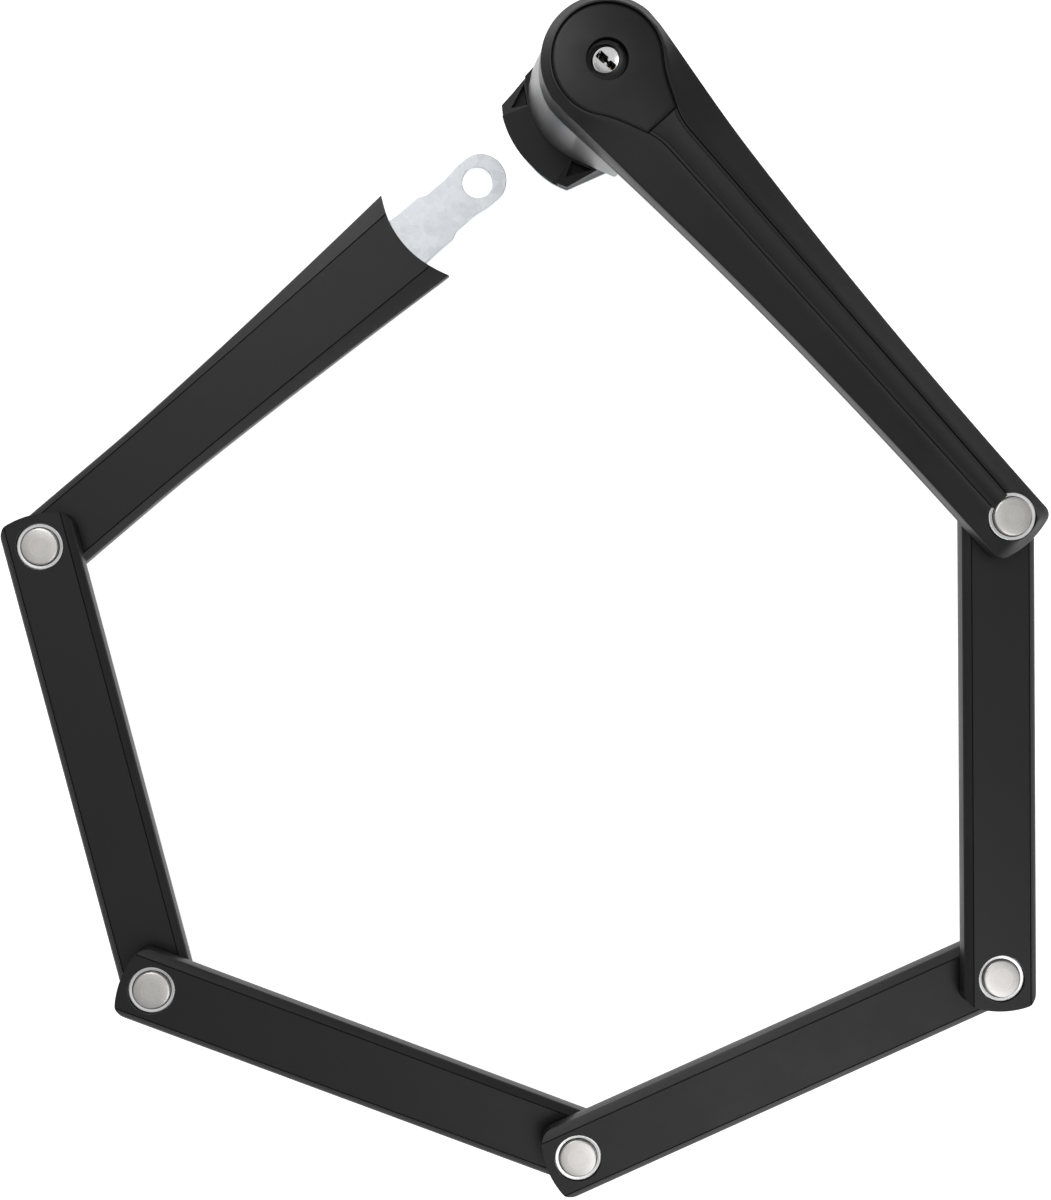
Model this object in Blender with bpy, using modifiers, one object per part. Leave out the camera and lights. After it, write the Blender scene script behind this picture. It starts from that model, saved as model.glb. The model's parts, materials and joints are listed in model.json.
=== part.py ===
# Folding bike lock: a lock body and five riveted links, lying open on a table.
# Lengths are in metres and angles in degrees. The origin is on the key axis, at the base of
# the head. +X runs from the key axis to the first rivet, and +Z is the way out of the keyhole.
import math

import bmesh
import bpy
from mathutils import Vector

# lengths between axes
BODY_LENGTH = 0.195        # key axis to the first rivet
LINK_PITCH = 0.1540        # rivet to rivet on a link
LINK_COUNT = 5
TURNS = (-41.9, -67.4, -44.9, -54.1, -63.8)   # of each link from the piece before it

# steel bars and their sleeves
BAR_THICK = 0.0035
BAR_HALF = 0.0091
BODY_BAR_HALF = 0.0079
EYE_WALL = 0.0045          # of the body's bar round the cylinder
SKIN = 0.0019              # sleeve wall above and below the bar
LINK_HALF = 0.0123
RAIL_WIDTH = 0.0024        # sloping rail on each side of the flat panel
RAIL_DROP = 0.0016
GROOVE = 0.0006
END_REACH = 0.0109         # sleeve end beyond the rivet axis
END_RADIUS = 0.030
CORNER_RADIUS = 0.003
BASE_GAP = 0.0009          # lowest sleeve above the table

# rivets
RIVET_HEAD = 0.0062
RIVET_SHANK = 0.0040
HEAD_THICK = 0.0011
RING_RADIUS = 0.0078
RING_THICK = 0.0005

# tongue and the lock that takes it
TONGUE_TIP = 0.0092
TONGUE_NECK = 0.0082
TONGUE_BASE = 0.0095
TONGUE_HOLE = 0.0052
TONGUE_REACH = 0.0105      # tip beyond the hole's centre
NECK_START = 0.0178        # hole centre to the step between base and neck
MOUTH_RADIUS = 0.0324      # end of the last sleeve, about the tongue hole
MOUTH_HALF = 0.0172
FLARE_START = 0.055
FLARE_POWER = 1.4
FLARE_PANEL = 0.35         # share of the flare that the flat panel takes up
GUIDE_RADIUS = 0.0332      # outer arc of the guide's top, about the key axis
GUIDE_FOOT_RADIUS = 0.0282 # outer arc below the shoulder, where the tongue goes in
GUIDE_HUB = 0.0220
GUIDE_FOOT_HUB = 0.0207
GUIDE_AIM = -93.5          # direction of the middle of the outer arc
GUIDE_SPREAD = 32.5        # half angle of the outer arc
GUIDE_SHOULDER = 0.0088    # height at which the guide starts to widen
POCKET_DEPTH = 0.0035
GUIDE_FLOOR = 0.0020       # left between the slot and the bolt's spring
POCKET_REACH = 0.0075
POCKET_RIM = 0.0035        # left between a pocket and the guide's outer arc

# lock body
HEAD_RADIUS = 0.021
END_HALF = 0.0115          # half width of the body at the first rivet
TAPER = 2.1
BODY_RISE = 0.0092         # of the cover above the underside of the body, bar left out
TOP_FALL = 0.0022          # the top is this much lower at the first rivet
HEAD_DROP = 0.0025         # slope of the flanks at the head
FLANK_DROP = 0.0056        # slope of the flanks along the body
FLANK_DROP_END = 0.0042
COVER_WALL = 0.0020
TOP_SKIN = 0.0024
FLANK_SKIN = 0.0016
TRAY_THICK = 0.0016
PLATE_RADIUS = 0.0176
PLATE_THICK = 0.0013
PLATE_END = 0.0256
PLATE_END_HALF = 0.0062
PLATE_LIP = 0.0016         # width of the ledge that carries the plate
STRIP_HALF = 0.0046
STRIP_END_HALF = 0.0032
STRIP_NARROWS = 0.008
STRIP_THICK = 0.0010
BASE_PLATE = 0.0015
GUIDE_TOP = 0.0210
HOUSING_FOOT = 0.0234      # radius of the casting where it meets the guide
HOUSING_FLANK = 65.5       # angle at which its round head runs into the straight flanks
HOUSING_FOOT_TIP = ((0.0247, 0.0146), (0.0240, 0.0117))
HOUSING_HEAD_TIP = ((0.0266, 0.0176), (0.0272, 0.0145))
HOUSING_FAR_FOOT = ((0.0210, 0.0115), (0.0206, 0.0090))   # cut back where a link folds past
HOUSING_FAR_HEAD = ((0.0225, 0.0130), (0.0222, 0.0105))
HOUSING_BOSS = 0.0148

# cylinder and bolt
CYLINDER_RADIUS = 0.0080
CYLINDER_BOTTOM = 0.0225
PLUG_RADIUS = 0.0047
KEYHOLE_RADIUS = 0.0068
FACE_DEPTH = 0.0022        # plug face below the face plate
KEYWAY_START = -0.0038     # the keyway's wide end, its waist and its narrow end
KEYWAY_WAIST = (-0.0002, 0.0006)
KEYWAY_END = 0.0033
KEYWAY_HALVES = (0.00135, 0.00045, 0.00115)
KEYWAY_CORNER = 0.0004
DISC_SPACE = 0.0022        # between two detainers
DISC_HALF = 0.0031
DISC_FACE = 0.0020         # the detainers' inner edge, off the keyway's middle
DISC_FOOT = 0.0045         # first detainer above the cylinder's bottom
DISC_COUNT = 5
DISC_THICK = 0.0016
BOLT_RADIUS = 0.0045
BOLT_TRAVEL = 0.0064
BOLT_STEM = 0.0032
COLLAR_RADIUS = 0.0062
COLLAR_THICK = 0.0012
SPRING_WIRE = 0.0004
SPRING_TURNS = 5
SHROUD_THICK = 0.0005
KEYWAY_TURN = 5.7          # the keyway's long side, from +X
SHROUD_SHIFT = 0.0010      # window of the keyhole shroud, off the key axis
SCREW_HEAD = 0.0030
SCREW_SHANK = 0.0014
SCREW_SOCKET = 0.0012
SCREW_SEAT = 0.0011        # depth that the head is let into the base plate
SCREW_TIP = 0.0120

# clearances
FIT = 0.00015              # between pieces that are fixed to each other
RUN = 0.0003               # between pieces that move past each other
SLIDE = 0.0006             # round the tongue in its slot
SLOT_CORNER = 0.004        # cut off the slot's blind corners

SLEEVE_THICK = BAR_THICK + 2 * SKIN
LAYER = SLEEVE_THICK + RUN
BODY_BOTTOM = BASE_GAP + LINK_COUNT * LAYER
BODY_TOP = BODY_BOTTOM + BODY_RISE + BAR_THICK
COVER_BOTTOM = BODY_BOTTOM + TRAY_THICK + FIT
BODY_BAR_LOW = COVER_BOTTOM + FIT
BODY_BAR_TOP = BODY_BAR_LOW + BAR_THICK
SLEEVE_HOLE = RING_RADIUS + FIT
OVERRUN = 0.001            # of a cutter past the face that it opens
TONGUE_LOW = BASE_GAP + SKIN
SLOT_TOP = TONGUE_LOW + BAR_THICK + SLIDE
WELL_FLOOR = SLOT_TOP - BOLT_TRAVEL   # steel left under the thrown bolt, with its running gap
SPRING_FLOOR = SLOT_TOP + GUIDE_FLOOR
COLLAR_LOW = GUIDE_TOP - RUN - COLLAR_THICK
PLUG_FACE = BODY_TOP - FACE_DEPTH
CYLINDER_TOP = PLUG_FACE - 2 * FIT
COLLAR_TOP = BODY_TOP - TOP_FALL - HEAD_THICK - RING_THICK - 3 * FIT
ROUND_STEPS = 24

BLACK = ("black_nylon", (0.018, 0.018, 0.019), 0.55, 0.0)
COVER_BLACK = ("black_cover", (0.022, 0.022, 0.023), 0.48, 0.0)
ZINC = ("zinc_plate", (0.72, 0.75, 0.80), 0.38, 1.0)
STEEL = ("bright_steel", (0.66, 0.64, 0.61), 0.30, 1.0)
CAST = ("satin_casting", (0.42, 0.43, 0.45), 0.42, 1.0)
CHROME = ("chrome", (0.80, 0.80, 0.81), 0.08, 1.0)
BRASS = ("brass", (0.68, 0.50, 0.20), 0.30, 1.0)
SPRING = ("spring_steel", (0.40, 0.40, 0.41), 0.35, 1.0)


def clear_scene():
    for item in list(bpy.data.objects):
        bpy.data.objects.remove(item, do_unlink=True)


def make_collection(name):
    group = bpy.data.collections.new(name)
    bpy.context.scene.collection.children.link(group)
    return group


def material(finish):
    name, color, roughness, metallic = finish
    found = bpy.data.materials.get(name)
    if found:
        return found
    made = bpy.data.materials.new(name)
    made.use_nodes = True
    shader = made.node_tree.nodes["Principled BSDF"]
    shader.inputs["Base Color"].default_value = (*color, 1.0)
    shader.inputs["Roughness"].default_value = roughness
    shader.inputs["Metallic"].default_value = metallic
    return made


def place(mesh, name, finish, parent=None, z=0.0, smooth=None):
    """Link a mesh as one sub-part, under the empty that carries it."""
    made = bpy.data.objects.new(name, mesh)
    parts.objects.link(made)
    made.parent = parent
    made.location.z = z
    mesh.materials.clear()
    mesh.materials.append(material(finish))
    if smooth:
        mesh.shade_smooth()
        mesh.set_sharp_from_angle(angle=math.radians(smooth))
    return made


def as_cutter(item):
    parts.objects.unlink(item)
    cutters.objects.link(item)
    item.hide_render = True
    item.display_type = "WIRE"
    return item


def combine(target, other, operation, solver="EXACT"):
    step = target.modifiers.new(other.name, "BOOLEAN")
    step.operation = operation
    step.solver = solver
    step.object = other
    return target


def cut(target, *others, solver="EXACT"):
    for other in others:
        combine(target, as_cutter(other), "DIFFERENCE", solver)
    return target


def join(target, *others):
    for other in others:
        combine(target, as_cutter(other), "UNION")
    return target


def arc(radius, start, end, steps, center=(0.0, 0.0)):
    """Points on an arc about a centre, from one angle to another."""
    angles = [math.radians(start + (end - start) * i / steps) for i in range(steps + 1)]
    return [(center[0] + radius * math.cos(a), center[1] + radius * math.sin(a)) for a in angles]


def flat_mesh(outline, thickness):
    """A flat plate standing on z = 0, from a closed outline."""
    curve = bpy.data.curves.new("outline", "CURVE")
    curve.dimensions = "2D"
    curve.fill_mode = "BOTH"
    curve.extrude = thickness / 2
    line = curve.splines.new("POLY")
    line.points.add(len(outline) - 1)
    for point, (x, y) in zip(line.points, outline):
        point.co = (x, y, 0, 1)
    line.use_cyclic_u = True
    source = bpy.data.objects.new("outline", curve)
    bpy.context.scene.collection.objects.link(source)
    bpy.context.view_layer.update()
    ready = source.evaluated_get(bpy.context.evaluated_depsgraph_get())
    mesh = bpy.data.meshes.new_from_object(ready)
    bpy.data.objects.remove(source)
    bpy.data.curves.remove(curve)
    work = bmesh.new()
    work.from_mesh(mesh)
    bmesh.ops.remove_doubles(work, verts=work.verts, dist=1e-7)
    bmesh.ops.translate(work, verts=work.verts, vec=(0, 0, thickness / 2))
    bmesh.ops.recalc_face_normals(work, faces=work.faces)
    work.to_mesh(mesh)
    work.free()
    return mesh


def plate(name, outline, low, high, finish, parent=None):
    return place(flat_mesh(outline, high - low), name, finish, parent, low, smooth=30)


def turned(name, profile, finish, parent=None, z=0.0, x=0.0, y=0.0, steps=ROUND_STEPS):
    """A solid of revolution. The profile runs from the top of the axis down its outer side."""
    mesh = bpy.data.meshes.new(name)
    mesh.from_pydata([(r, 0, h) for r, h in profile], [(i, i + 1) for i in range(len(profile) - 1)], [])
    made = place(mesh, name, finish, parent, z)
    made.location.x = x
    made.location.y = y
    screw = made.modifiers.new("turn", "SCREW")
    screw.steps = steps
    screw.render_steps = steps
    screw.use_merge_vertices = True
    screw.merge_threshold = 1e-6
    screw.use_smooth_shade = True
    return made


def disc(name, radius, low, high, finish, parent=None, chamfer=0.0, **where):
    profile = [(0, high - low), (radius - chamfer, high - low), (radius, high - low - chamfer),
               (radius, 0), (0, 0)]
    if not chamfer:
        profile.pop(2)
    return turned(name, profile, finish, parent, low, **where)


def ring(name, outer, inner, low, high, finish, parent=None, **where):
    profile = [(inner, 0), (inner, high - low), (outer, high - low), (outer, 0), (inner, 0)]
    made = turned(name, profile[:-1] + [profile[0]], finish, parent, low, **where)
    weld = made.modifiers.new("close", "WELD")
    weld.merge_threshold = 1e-6
    return made


def empty(name, parent, x, turn):
    made = bpy.data.objects.new(name, None)
    parts.objects.link(made)
    made.parent = parent
    made.location.x = x
    made.rotation_euler.z = math.radians(turn)
    made.empty_display_size = 0.02
    return made


def rounded(corners, radius, steps=5):
    """Round an outline's corners with quadratic arcs; a corner's own third value overrides."""
    points = []
    for i, corner in enumerate(corners):
        here = Vector(corner[:2])
        size = corner[2] if len(corner) > 2 else radius
        if not size:
            points.append(tuple(here))
            continue
        before = Vector(corners[i - 1][:2]) - here
        after = Vector(corners[(i + 1) % len(corners)][:2]) - here
        start = here + before.normalized() * min(size, before.length / 2)
        end = here + after.normalized() * min(size, after.length / 2)
        for k in range(steps + 1):
            t = k / steps
            points.append(tuple(start * (1 - t) ** 2 + here * 2 * t * (1 - t) + end * t * t))
    return points


def end_arc(x, half, radius, reach):
    """The shallow convex end of a sleeve at x + reach, from -half to +half."""
    sweep = math.degrees(math.asin(half / radius))
    return arc(radius, -sweep, sweep, 8, (x + reach - radius, 0))


def sleeve_outline(length, half):
    right = end_arc(length, half, END_RADIUS, END_REACH)
    left = [(-x + length, -y) for x, y in right]
    corners = [(x, y, 0) for x, y in right]
    corners[0] = (*right[0], CORNER_RADIUS)
    corners[-1] = (*right[-1], CORNER_RADIUS)
    other = [(x, y, 0) for x, y in left]
    other[0] = (*left[0], CORNER_RADIUS)
    other[-1] = (*left[-1], CORNER_RADIUS)
    return rounded(corners + other, CORNER_RADIUS)


def sleeve_section(half, panel):
    """Half widths and heights round a sleeve: flat panel, groove, sloping rail and side wall."""
    top = SLEEVE_THICK
    side = [(panel - GROOVE, top), (panel, top - GROOVE), (panel + GROOVE / 2, top - GROOVE / 4),
            (half - 0.0003, top - RAIL_DROP), (half, top - RAIL_DROP - 0.0006),
            (half, 0.0009), (half - 0.0009, 0)]
    return side


def sleeve_prism(name, stations):
    """A sleeve lofted along X from (x, half width, panel half width) stations."""
    work = bmesh.new()
    rings = []
    for x, half, panel in stations:
        side = sleeve_section(half, panel)
        loop = [(x, y, z) for y, z in side] + [(x, -y, z) for y, z in reversed(side)]
        rings.append([work.verts.new(point) for point in loop])
    for a, b in zip(rings, rings[1:]):
        for i in range(len(a)):
            j = (i + 1) % len(a)
            work.faces.new((a[i], b[i], b[j], a[j]))
    work.faces.new(rings[0])
    work.faces.new(list(reversed(rings[-1])))
    bmesh.ops.recalc_face_normals(work, faces=work.faces)
    mesh = bpy.data.meshes.new(name)
    work.to_mesh(mesh)
    work.free()
    return mesh


def bar_outline(length, half, grow=0.0):
    return (arc(half + grow, -90, 90, 10, (length, 0))
            + arc(half + grow, 90, 270, 10, (0, 0)))


def link_bar(k, pivot):
    low = link_low(k) + SKIN
    made = plate(f"link_bar_{k}", bar_outline(LINK_PITCH, BAR_HALF), low, low + BAR_THICK, ZINC,
                 pivot)
    return cut(made, *[disc(f"bar_hole_{k}_{i}", RIVET_SHANK + RUN, low - OVERRUN,
                            low + BAR_THICK + OVERRUN, ZINC, pivot, x=x)
                       for i, x in enumerate((0, LINK_PITCH))])


def link_low(k):
    """Height of the underside of link k's sleeve; link 0 would be the lock body."""
    return BASE_GAP + (LINK_COUNT - k) * LAYER


def sleeve_cuts(k, pivot, holes, cavity):
    low = link_low(k)
    tools = [plate(f"bar_space_{k}", cavity, low + SKIN - FIT, low + SKIN + BAR_THICK + FIT,
                   BLACK, pivot)]
    for i, x in enumerate(holes):
        tools.append(disc(f"sleeve_hole_{k}_{i}", SLEEVE_HOLE, low - OVERRUN,
                          low + SLEEVE_THICK + OVERRUN, BLACK, pivot, x=x))
    return tools


def link_sleeve(k, pivot):
    """The over-moulded sleeve of a plain link."""
    reach = END_REACH + 0.002
    panel = LINK_HALF - RAIL_WIDTH
    mesh = sleeve_prism(f"link_sleeve_{k}", [(-reach, LINK_HALF, panel),
                                             (LINK_PITCH + reach, LINK_HALF, panel)])
    made = place(mesh, f"link_sleeve_{k}", BLACK, pivot, link_low(k))
    trim = plate(f"sleeve_plan_{k}", sleeve_outline(LINK_PITCH, LINK_HALF + 0.0002),
                 link_low(k) - OVERRUN, link_low(k) + SLEEVE_THICK + OVERRUN, BLACK, pivot)
    combine(made, as_cutter(trim), "INTERSECT", "MANIFOLD")
    cavity = bar_outline(LINK_PITCH, BAR_HALF, FIT)
    return cut(made, *sleeve_cuts(k, pivot, (0, LINK_PITCH), cavity), solver="MANIFOLD")


def flare_half(x):
    """Half width of the last sleeve, which widens towards its mouth."""
    mouth = BODY_LENGTH - MOUTH_RADIUS
    t = max(0.0, (x - FLARE_START) / (mouth - FLARE_START))
    return LINK_HALF + (MOUTH_HALF - LINK_HALF) * t ** FLARE_POWER


def panel_half(x):
    return LINK_HALF - RAIL_WIDTH + (flare_half(x) - LINK_HALF) * FLARE_PANEL


def tongue_outline(grow=0.0):
    """The last bar: round at its rivet, plain in the sleeve, necked, with a rounded tip."""
    hole = BODY_LENGTH
    step = hole - NECK_START
    tip = hole + TONGUE_REACH - TONGUE_TIP
    side = [(step, TONGUE_BASE + grow, 0.002), (step + 0.0035, TONGUE_NECK + grow, 0.002),
            (tip - 0.006, TONGUE_NECK + grow, 0.002)]
    upper = [(tip + x, y, 0) for x, y in arc(TONGUE_TIP + grow, 75, 0, 9)]
    right = side + upper
    mirror = [(x, -y, r) for x, y, r in reversed(right[:-1])]
    heel = [(x, y, 0) for x, y in arc(TONGUE_BASE + grow, 270, 90, 14)]
    return rounded(right + mirror + heel, 0.002, 4)


def last_bar(pivot):
    low = TONGUE_LOW
    k = LINK_COUNT
    made = plate(f"link_bar_{k}", tongue_outline(), low, low + BAR_THICK, ZINC, pivot)
    holes = ((0, RIVET_SHANK + RUN), (BODY_LENGTH, TONGUE_HOLE))
    return cut(made, *[disc(f"tongue_hole_{i}", radius, low - OVERRUN, low + BAR_THICK + OVERRUN,
                            ZINC, pivot, x=x) for i, (x, radius) in enumerate(holes)])


def last_sleeve(pivot):
    """The last sleeve flares to a hollow mouth that closes round the head's guide."""
    k = LINK_COUNT
    reach = END_REACH + 0.002
    mouth = BODY_LENGTH - MOUTH_RADIUS + 0.006
    spots = [-reach] + [FLARE_START + (mouth - FLARE_START) * i / 8 for i in range(9)]
    mesh = sleeve_prism(f"link_sleeve_{k}", [(x, flare_half(x), panel_half(x)) for x in spots])
    made = place(mesh, f"link_sleeve_{k}", BLACK, pivot, link_low(k))
    left = [(x, y, 0) for x, y in end_arc(0, LINK_HALF + 0.0002, END_RADIUS, END_REACH)]
    left = [(-x, -y, r) for x, y, r in left]
    left[0] = (*left[0][:2], CORNER_RADIUS)
    left[-1] = (*left[-1][:2], CORNER_RADIUS)
    outline = left + [(mouth + 0.01, -MOUTH_HALF - 0.004, 0), (mouth + 0.01, MOUTH_HALF + 0.004, 0)]
    low = link_low(k) - 0.001
    high = link_low(k) + SLEEVE_THICK + 0.001
    trim = plate("sleeve_plan_last", rounded(outline, 0), low, high, BLACK, pivot)
    combine(made, as_cutter(trim), "INTERSECT", "MANIFOLD")
    tools = sleeve_cuts(k, pivot, (0,), tongue_outline(FIT))
    tools.append(disc("mouth_cut", MOUTH_RADIUS, low, high, BLACK, pivot, x=BODY_LENGTH, steps=72))
    return cut(made, *tools, solver="MANIFOLD")


def rivet(k, pivot, top, bar_top):
    """Rivet k: its head on a ring above the upper bar, its foot under the lower bar."""
    lower = link_low(k)
    foot = lower + SKIN - FIT - HEAD_THICK
    shank_low = lower + SKIN - FIT
    head_low = top - HEAD_THICK
    profile = [(0, top), (RIVET_HEAD - 0.0002, top), (RIVET_HEAD, top - 0.0003),
               (RIVET_HEAD, head_low), (RIVET_SHANK, head_low), (RIVET_SHANK, shank_low),
               (RIVET_HEAD, shank_low), (RIVET_HEAD, foot + 0.0003), (RIVET_HEAD - 0.0003, foot),
               (0, foot)]
    turned(f"rivet_{k}", profile, STEEL, pivot)
    ring(f"rivet_ring_{k}", RING_RADIUS, RIVET_SHANK + FIT, head_low - FIT - RING_THICK,
         head_low - FIT, ZINC, pivot)
    spacer_low = lower + SKIN + BAR_THICK + RUN
    spacer_high = bar_top - BAR_THICK - FIT
    ring(f"rivet_spacer_{k}", RING_RADIUS - FIT, RIVET_SHANK + FIT, spacer_low, spacer_high,
         BRASS, pivot)


def half_width(x):
    return END_HALF + (HEAD_RADIUS - END_HALF) * (1 - min(1, x / BODY_LENGTH)) ** TAPER


def strip_half(x):
    along = max(0.0, (x - PLATE_END) / (BODY_LENGTH - PLATE_END))
    near = max(0.0, 1 - (x - PLATE_END) / STRIP_NARROWS)
    taper = STRIP_HALF + (STRIP_END_HALF - STRIP_HALF) * along
    return taper + (PLATE_END_HALF - STRIP_HALF) * near ** 2


def top_height(x):
    return BODY_TOP - TOP_FALL * max(0.0, (x - PLATE_END) / (BODY_LENGTH - PLATE_END))


def flank_drop(x):
    near = min(1.0, max(0.0, x / 0.05))
    blend = near * near * (3 - 2 * near)
    along = min(1.0, max(0.0, x / BODY_LENGTH))
    return HEAD_DROP + (FLANK_DROP + (FLANK_DROP_END - FLANK_DROP) * along - HEAD_DROP) * blend


def plate_half(x, radius):
    """Half width of the face plate: a disc that runs out by an ogee to its end edge."""
    side = math.sqrt(max(0.0, radius ** 2 - x * x)) if x < radius else 0.0
    shoulder = radius * math.cos(math.radians(52))
    if x <= shoulder:
        return side
    start = radius * math.sin(math.radians(52))
    t = (x - shoulder) / (PLATE_END - shoulder)
    slope = -math.cos(math.radians(52)) / math.sin(math.radians(52)) * (PLATE_END - shoulder)
    end = PLATE_END_HALF
    return ((2 * t ** 3 - 3 * t ** 2 + 1) * start + (t ** 3 - 2 * t ** 2 + t) * slope
            + (3 * t ** 2 - 2 * t ** 3) * end + (t ** 3 - t ** 2) * -0.007)


def plate_outline(inset=0.0):
    spots = [PLATE_RADIUS * math.cos(math.radians(a)) for a in range(88, 51, -6)]
    shoulder = spots[-1]
    spots += [shoulder + (PLATE_END - shoulder) * i / 8 for i in range(1, 9)]
    upper = [(x, plate_half(x, PLATE_RADIUS)) for x in spots]
    full = arc(PLATE_RADIUS, 268, 92, 32)
    points = upper + [(x, -y) for x, y in reversed(upper)] + full
    if not inset:
        return points
    return offset(points, inset)


def offset(points, inset):
    """Move every point of a clockwise outline inwards along its own normal."""
    moved = []
    for i, point in enumerate(points):
        before = Vector(points[i - 1])
        after = Vector(points[(i + 1) % len(points)])
        along = (after - before).normalized()
        moved.append((point[0] + along.y * inset, point[1] - along.x * inset))
    return moved


def body_loops(inset=0.0, sink=0.0, flank_sink=0.0):
    """Matching loops round the body: where the wall stands, and where the flat top ends."""
    side = []
    for i in range(19):
        x = 0.003 + (BODY_LENGTH + 0.004 - 0.003) * i / 18
        inner = (plate_half(x, PLATE_RADIUS + 0.0006) + 0.0004 if x < PLATE_END - 0.001
                 else strip_half(max(x, PLATE_END)) + 0.0003)
        side.append((x, half_width(x) - inset, x, inner))
    tip = END_REACH - inset
    end = []
    for a in (52, 30, 10):
        y = (END_HALF - inset) * math.sin(math.radians(a)) / math.sin(math.radians(52))
        dx = tip - y * y / (2 * END_RADIUS)
        end.append((BODY_LENGTH + dx - (0.0012 if a == 52 else 0), y * (0.93 if a == 52 else 1),
                    BODY_LENGTH + dx - 0.004, min(y, STRIP_END_HALF)))
    upper = side + end
    lower = [(x, -y, u, -v) for x, y, u, v in reversed(upper)]
    rim = PLATE_RADIUS + 0.0006
    head = [((HEAD_RADIUS - inset) * math.cos(a), (HEAD_RADIUS - inset) * math.sin(a),
             rim * math.cos(a), rim * math.sin(a))
            for a in [math.radians(262 - 164 * i / 28) for i in range(29)]]
    rows = upper + lower + head
    wall = [(x, y, top_height(x) - flank_drop(x) - flank_sink) for x, y, u, v in rows]
    top = [(u, v, top_height(u) - sink) for x, y, u, v in rows]
    return wall, top


def loft(name, loops, finish):
    """A closed solid through matching loops of points, from the lowest loop up."""
    work = bmesh.new()
    rows = [[work.verts.new(point) for point in loop] for loop in loops]
    for a, b in zip(rows, rows[1:]):
        for i in range(len(a)):
            j = (i + 1) % len(a)
            work.faces.new((a[i], a[j], b[j], b[i]))
    for row in (rows[0], rows[-1]):
        edges = [work.edges.get((row[i - 1], row[i])) for i in range(len(row))]
        bmesh.ops.triangle_fill(work, edges=edges, use_beauty=True)
    bmesh.ops.recalc_face_normals(work, faces=work.faces)
    mesh = bpy.data.meshes.new(name)
    work.to_mesh(mesh)
    work.free()
    return place(mesh, name, finish)


def lifted(outline, z):
    return [(x, y, z) for x, y in outline]


def body_solid(name, low, *insets):
    wall, top = body_loops(*insets)
    return loft(name, [[(x, y, low) for x, y, z in wall], wall, top], COVER_BLACK)


def strip_outline(start, end, grow=0.0):
    spots = [start + (end - start) * (i / 12) ** 1.6 for i in range(13)]
    upper = [(x, strip_half(max(x, PLATE_END)) - FIT + grow) for x in spots]
    return upper + [(x, -y) for x, y in reversed(upper)]


def sloped_plate(name, outline, depth, rise=0.0):
    """A plate whose top follows the falling top of the body."""
    made = plate(name, outline, BODY_TOP - depth, BODY_TOP + rise, COVER_BLACK)
    for vertex in made.data.vertices:
        spot = vertex.co.x
        vertex.co.z += top_height(spot) - BODY_TOP
    return made


def body_cover():
    made = body_solid("body_cover", COVER_BOTTOM)
    made.data.shade_smooth()
    made.data.set_sharp_from_angle(angle=math.radians(25))
    hollow = body_solid("cover_hollow", COVER_BOTTOM - OVERRUN, COVER_WALL, TOP_SKIN, FLANK_SKIN)
    seat = plate("plate_seat", plate_outline(-FIT), BODY_TOP - PLATE_THICK - FIT,
                 BODY_TOP + OVERRUN, COVER_BLACK)
    window = plate("plate_window", plate_outline(PLATE_LIP), BODY_TOP - 0.006,
                   BODY_TOP + OVERRUN, COVER_BLACK)
    run = strip_outline(PLATE_END - OVERRUN, BODY_LENGTH - SLEEVE_HOLE + OVERRUN, RUN)
    groove = sloped_plate("strip_seat", run, STRIP_THICK + FIT, 0.001)
    eye = disc("body_eye", SLEEVE_HOLE, COVER_BOTTOM - OVERRUN, BODY_TOP, COVER_BLACK,
               x=BODY_LENGTH)
    return cut(made, hollow, seat, window, groove, eye)


def face_plate():
    made = plate("face_plate", plate_outline(), BODY_TOP - PLATE_THICK, BODY_TOP, COVER_BLACK)
    return cut(made, disc("keyhole_cut", KEYHOLE_RADIUS, BODY_TOP - 0.004, BODY_TOP + OVERRUN,
                          COVER_BLACK))


def centre_strip():
    """The inlay from the face plate to the first rivet, just over the edge of its ring."""
    outline = strip_outline(PLATE_END + RUN, BODY_LENGTH - RIVET_HEAD - RUN)
    return sloped_plate("centre_strip", outline, STRIP_THICK)


def body_tray():
    """The lower shell of the body, open where the lock housing comes up through it."""
    outline = [(x, y) for x, y, z in body_loops()[0]]
    made = plate("body_tray", outline, BODY_BOTTOM, BODY_BOTTOM + TRAY_THICK, COVER_BLACK)
    hole = disc("tray_hole", HOUSING_BOSS + RUN, BODY_BOTTOM - OVERRUN, COVER_BOTTOM + OVERRUN,
                COVER_BLACK)
    eye = disc("tray_eye", SLEEVE_HOLE, BODY_BOTTOM - OVERRUN, COVER_BOTTOM + OVERRUN, COVER_BLACK,
               x=BODY_LENGTH)
    return cut(made, hole, eye)


def body_bar():
    """Steel bar from the first rivet to the eye that the cylinder stands in."""
    eye = CYLINDER_RADIUS + EYE_WALL
    bend = math.degrees(math.acos(BODY_BAR_HALF / eye)) - 90
    outline = (arc(BODY_BAR_HALF, -90, 90, 14, (BODY_LENGTH, 0))
               + arc(eye, 90 + bend, 270 - bend, 24))
    made = plate("body_bar", outline, BODY_BAR_LOW, BODY_BAR_TOP, ZINC)
    return cut(made,
               disc("body_bar_eye", CYLINDER_RADIUS + FIT, BODY_BAR_LOW - OVERRUN,
                    BODY_BAR_TOP + OVERRUN, ZINC),
               disc("body_bar_hole", RIVET_SHANK + RUN, BODY_BAR_LOW - OVERRUN,
                    BODY_BAR_TOP + OVERRUN, ZINC, x=BODY_LENGTH))


def housing_outline(radius, tip, far_tip):
    """Round about the key axis, with a straight flank to a small tip on each side."""
    lower = [(x, -y) for x, y in tip]
    round_end = arc(radius, HOUSING_FLANK, 360 - HOUSING_FLANK, 36)
    return lower + list(reversed(far_tip)) + round_end


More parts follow.
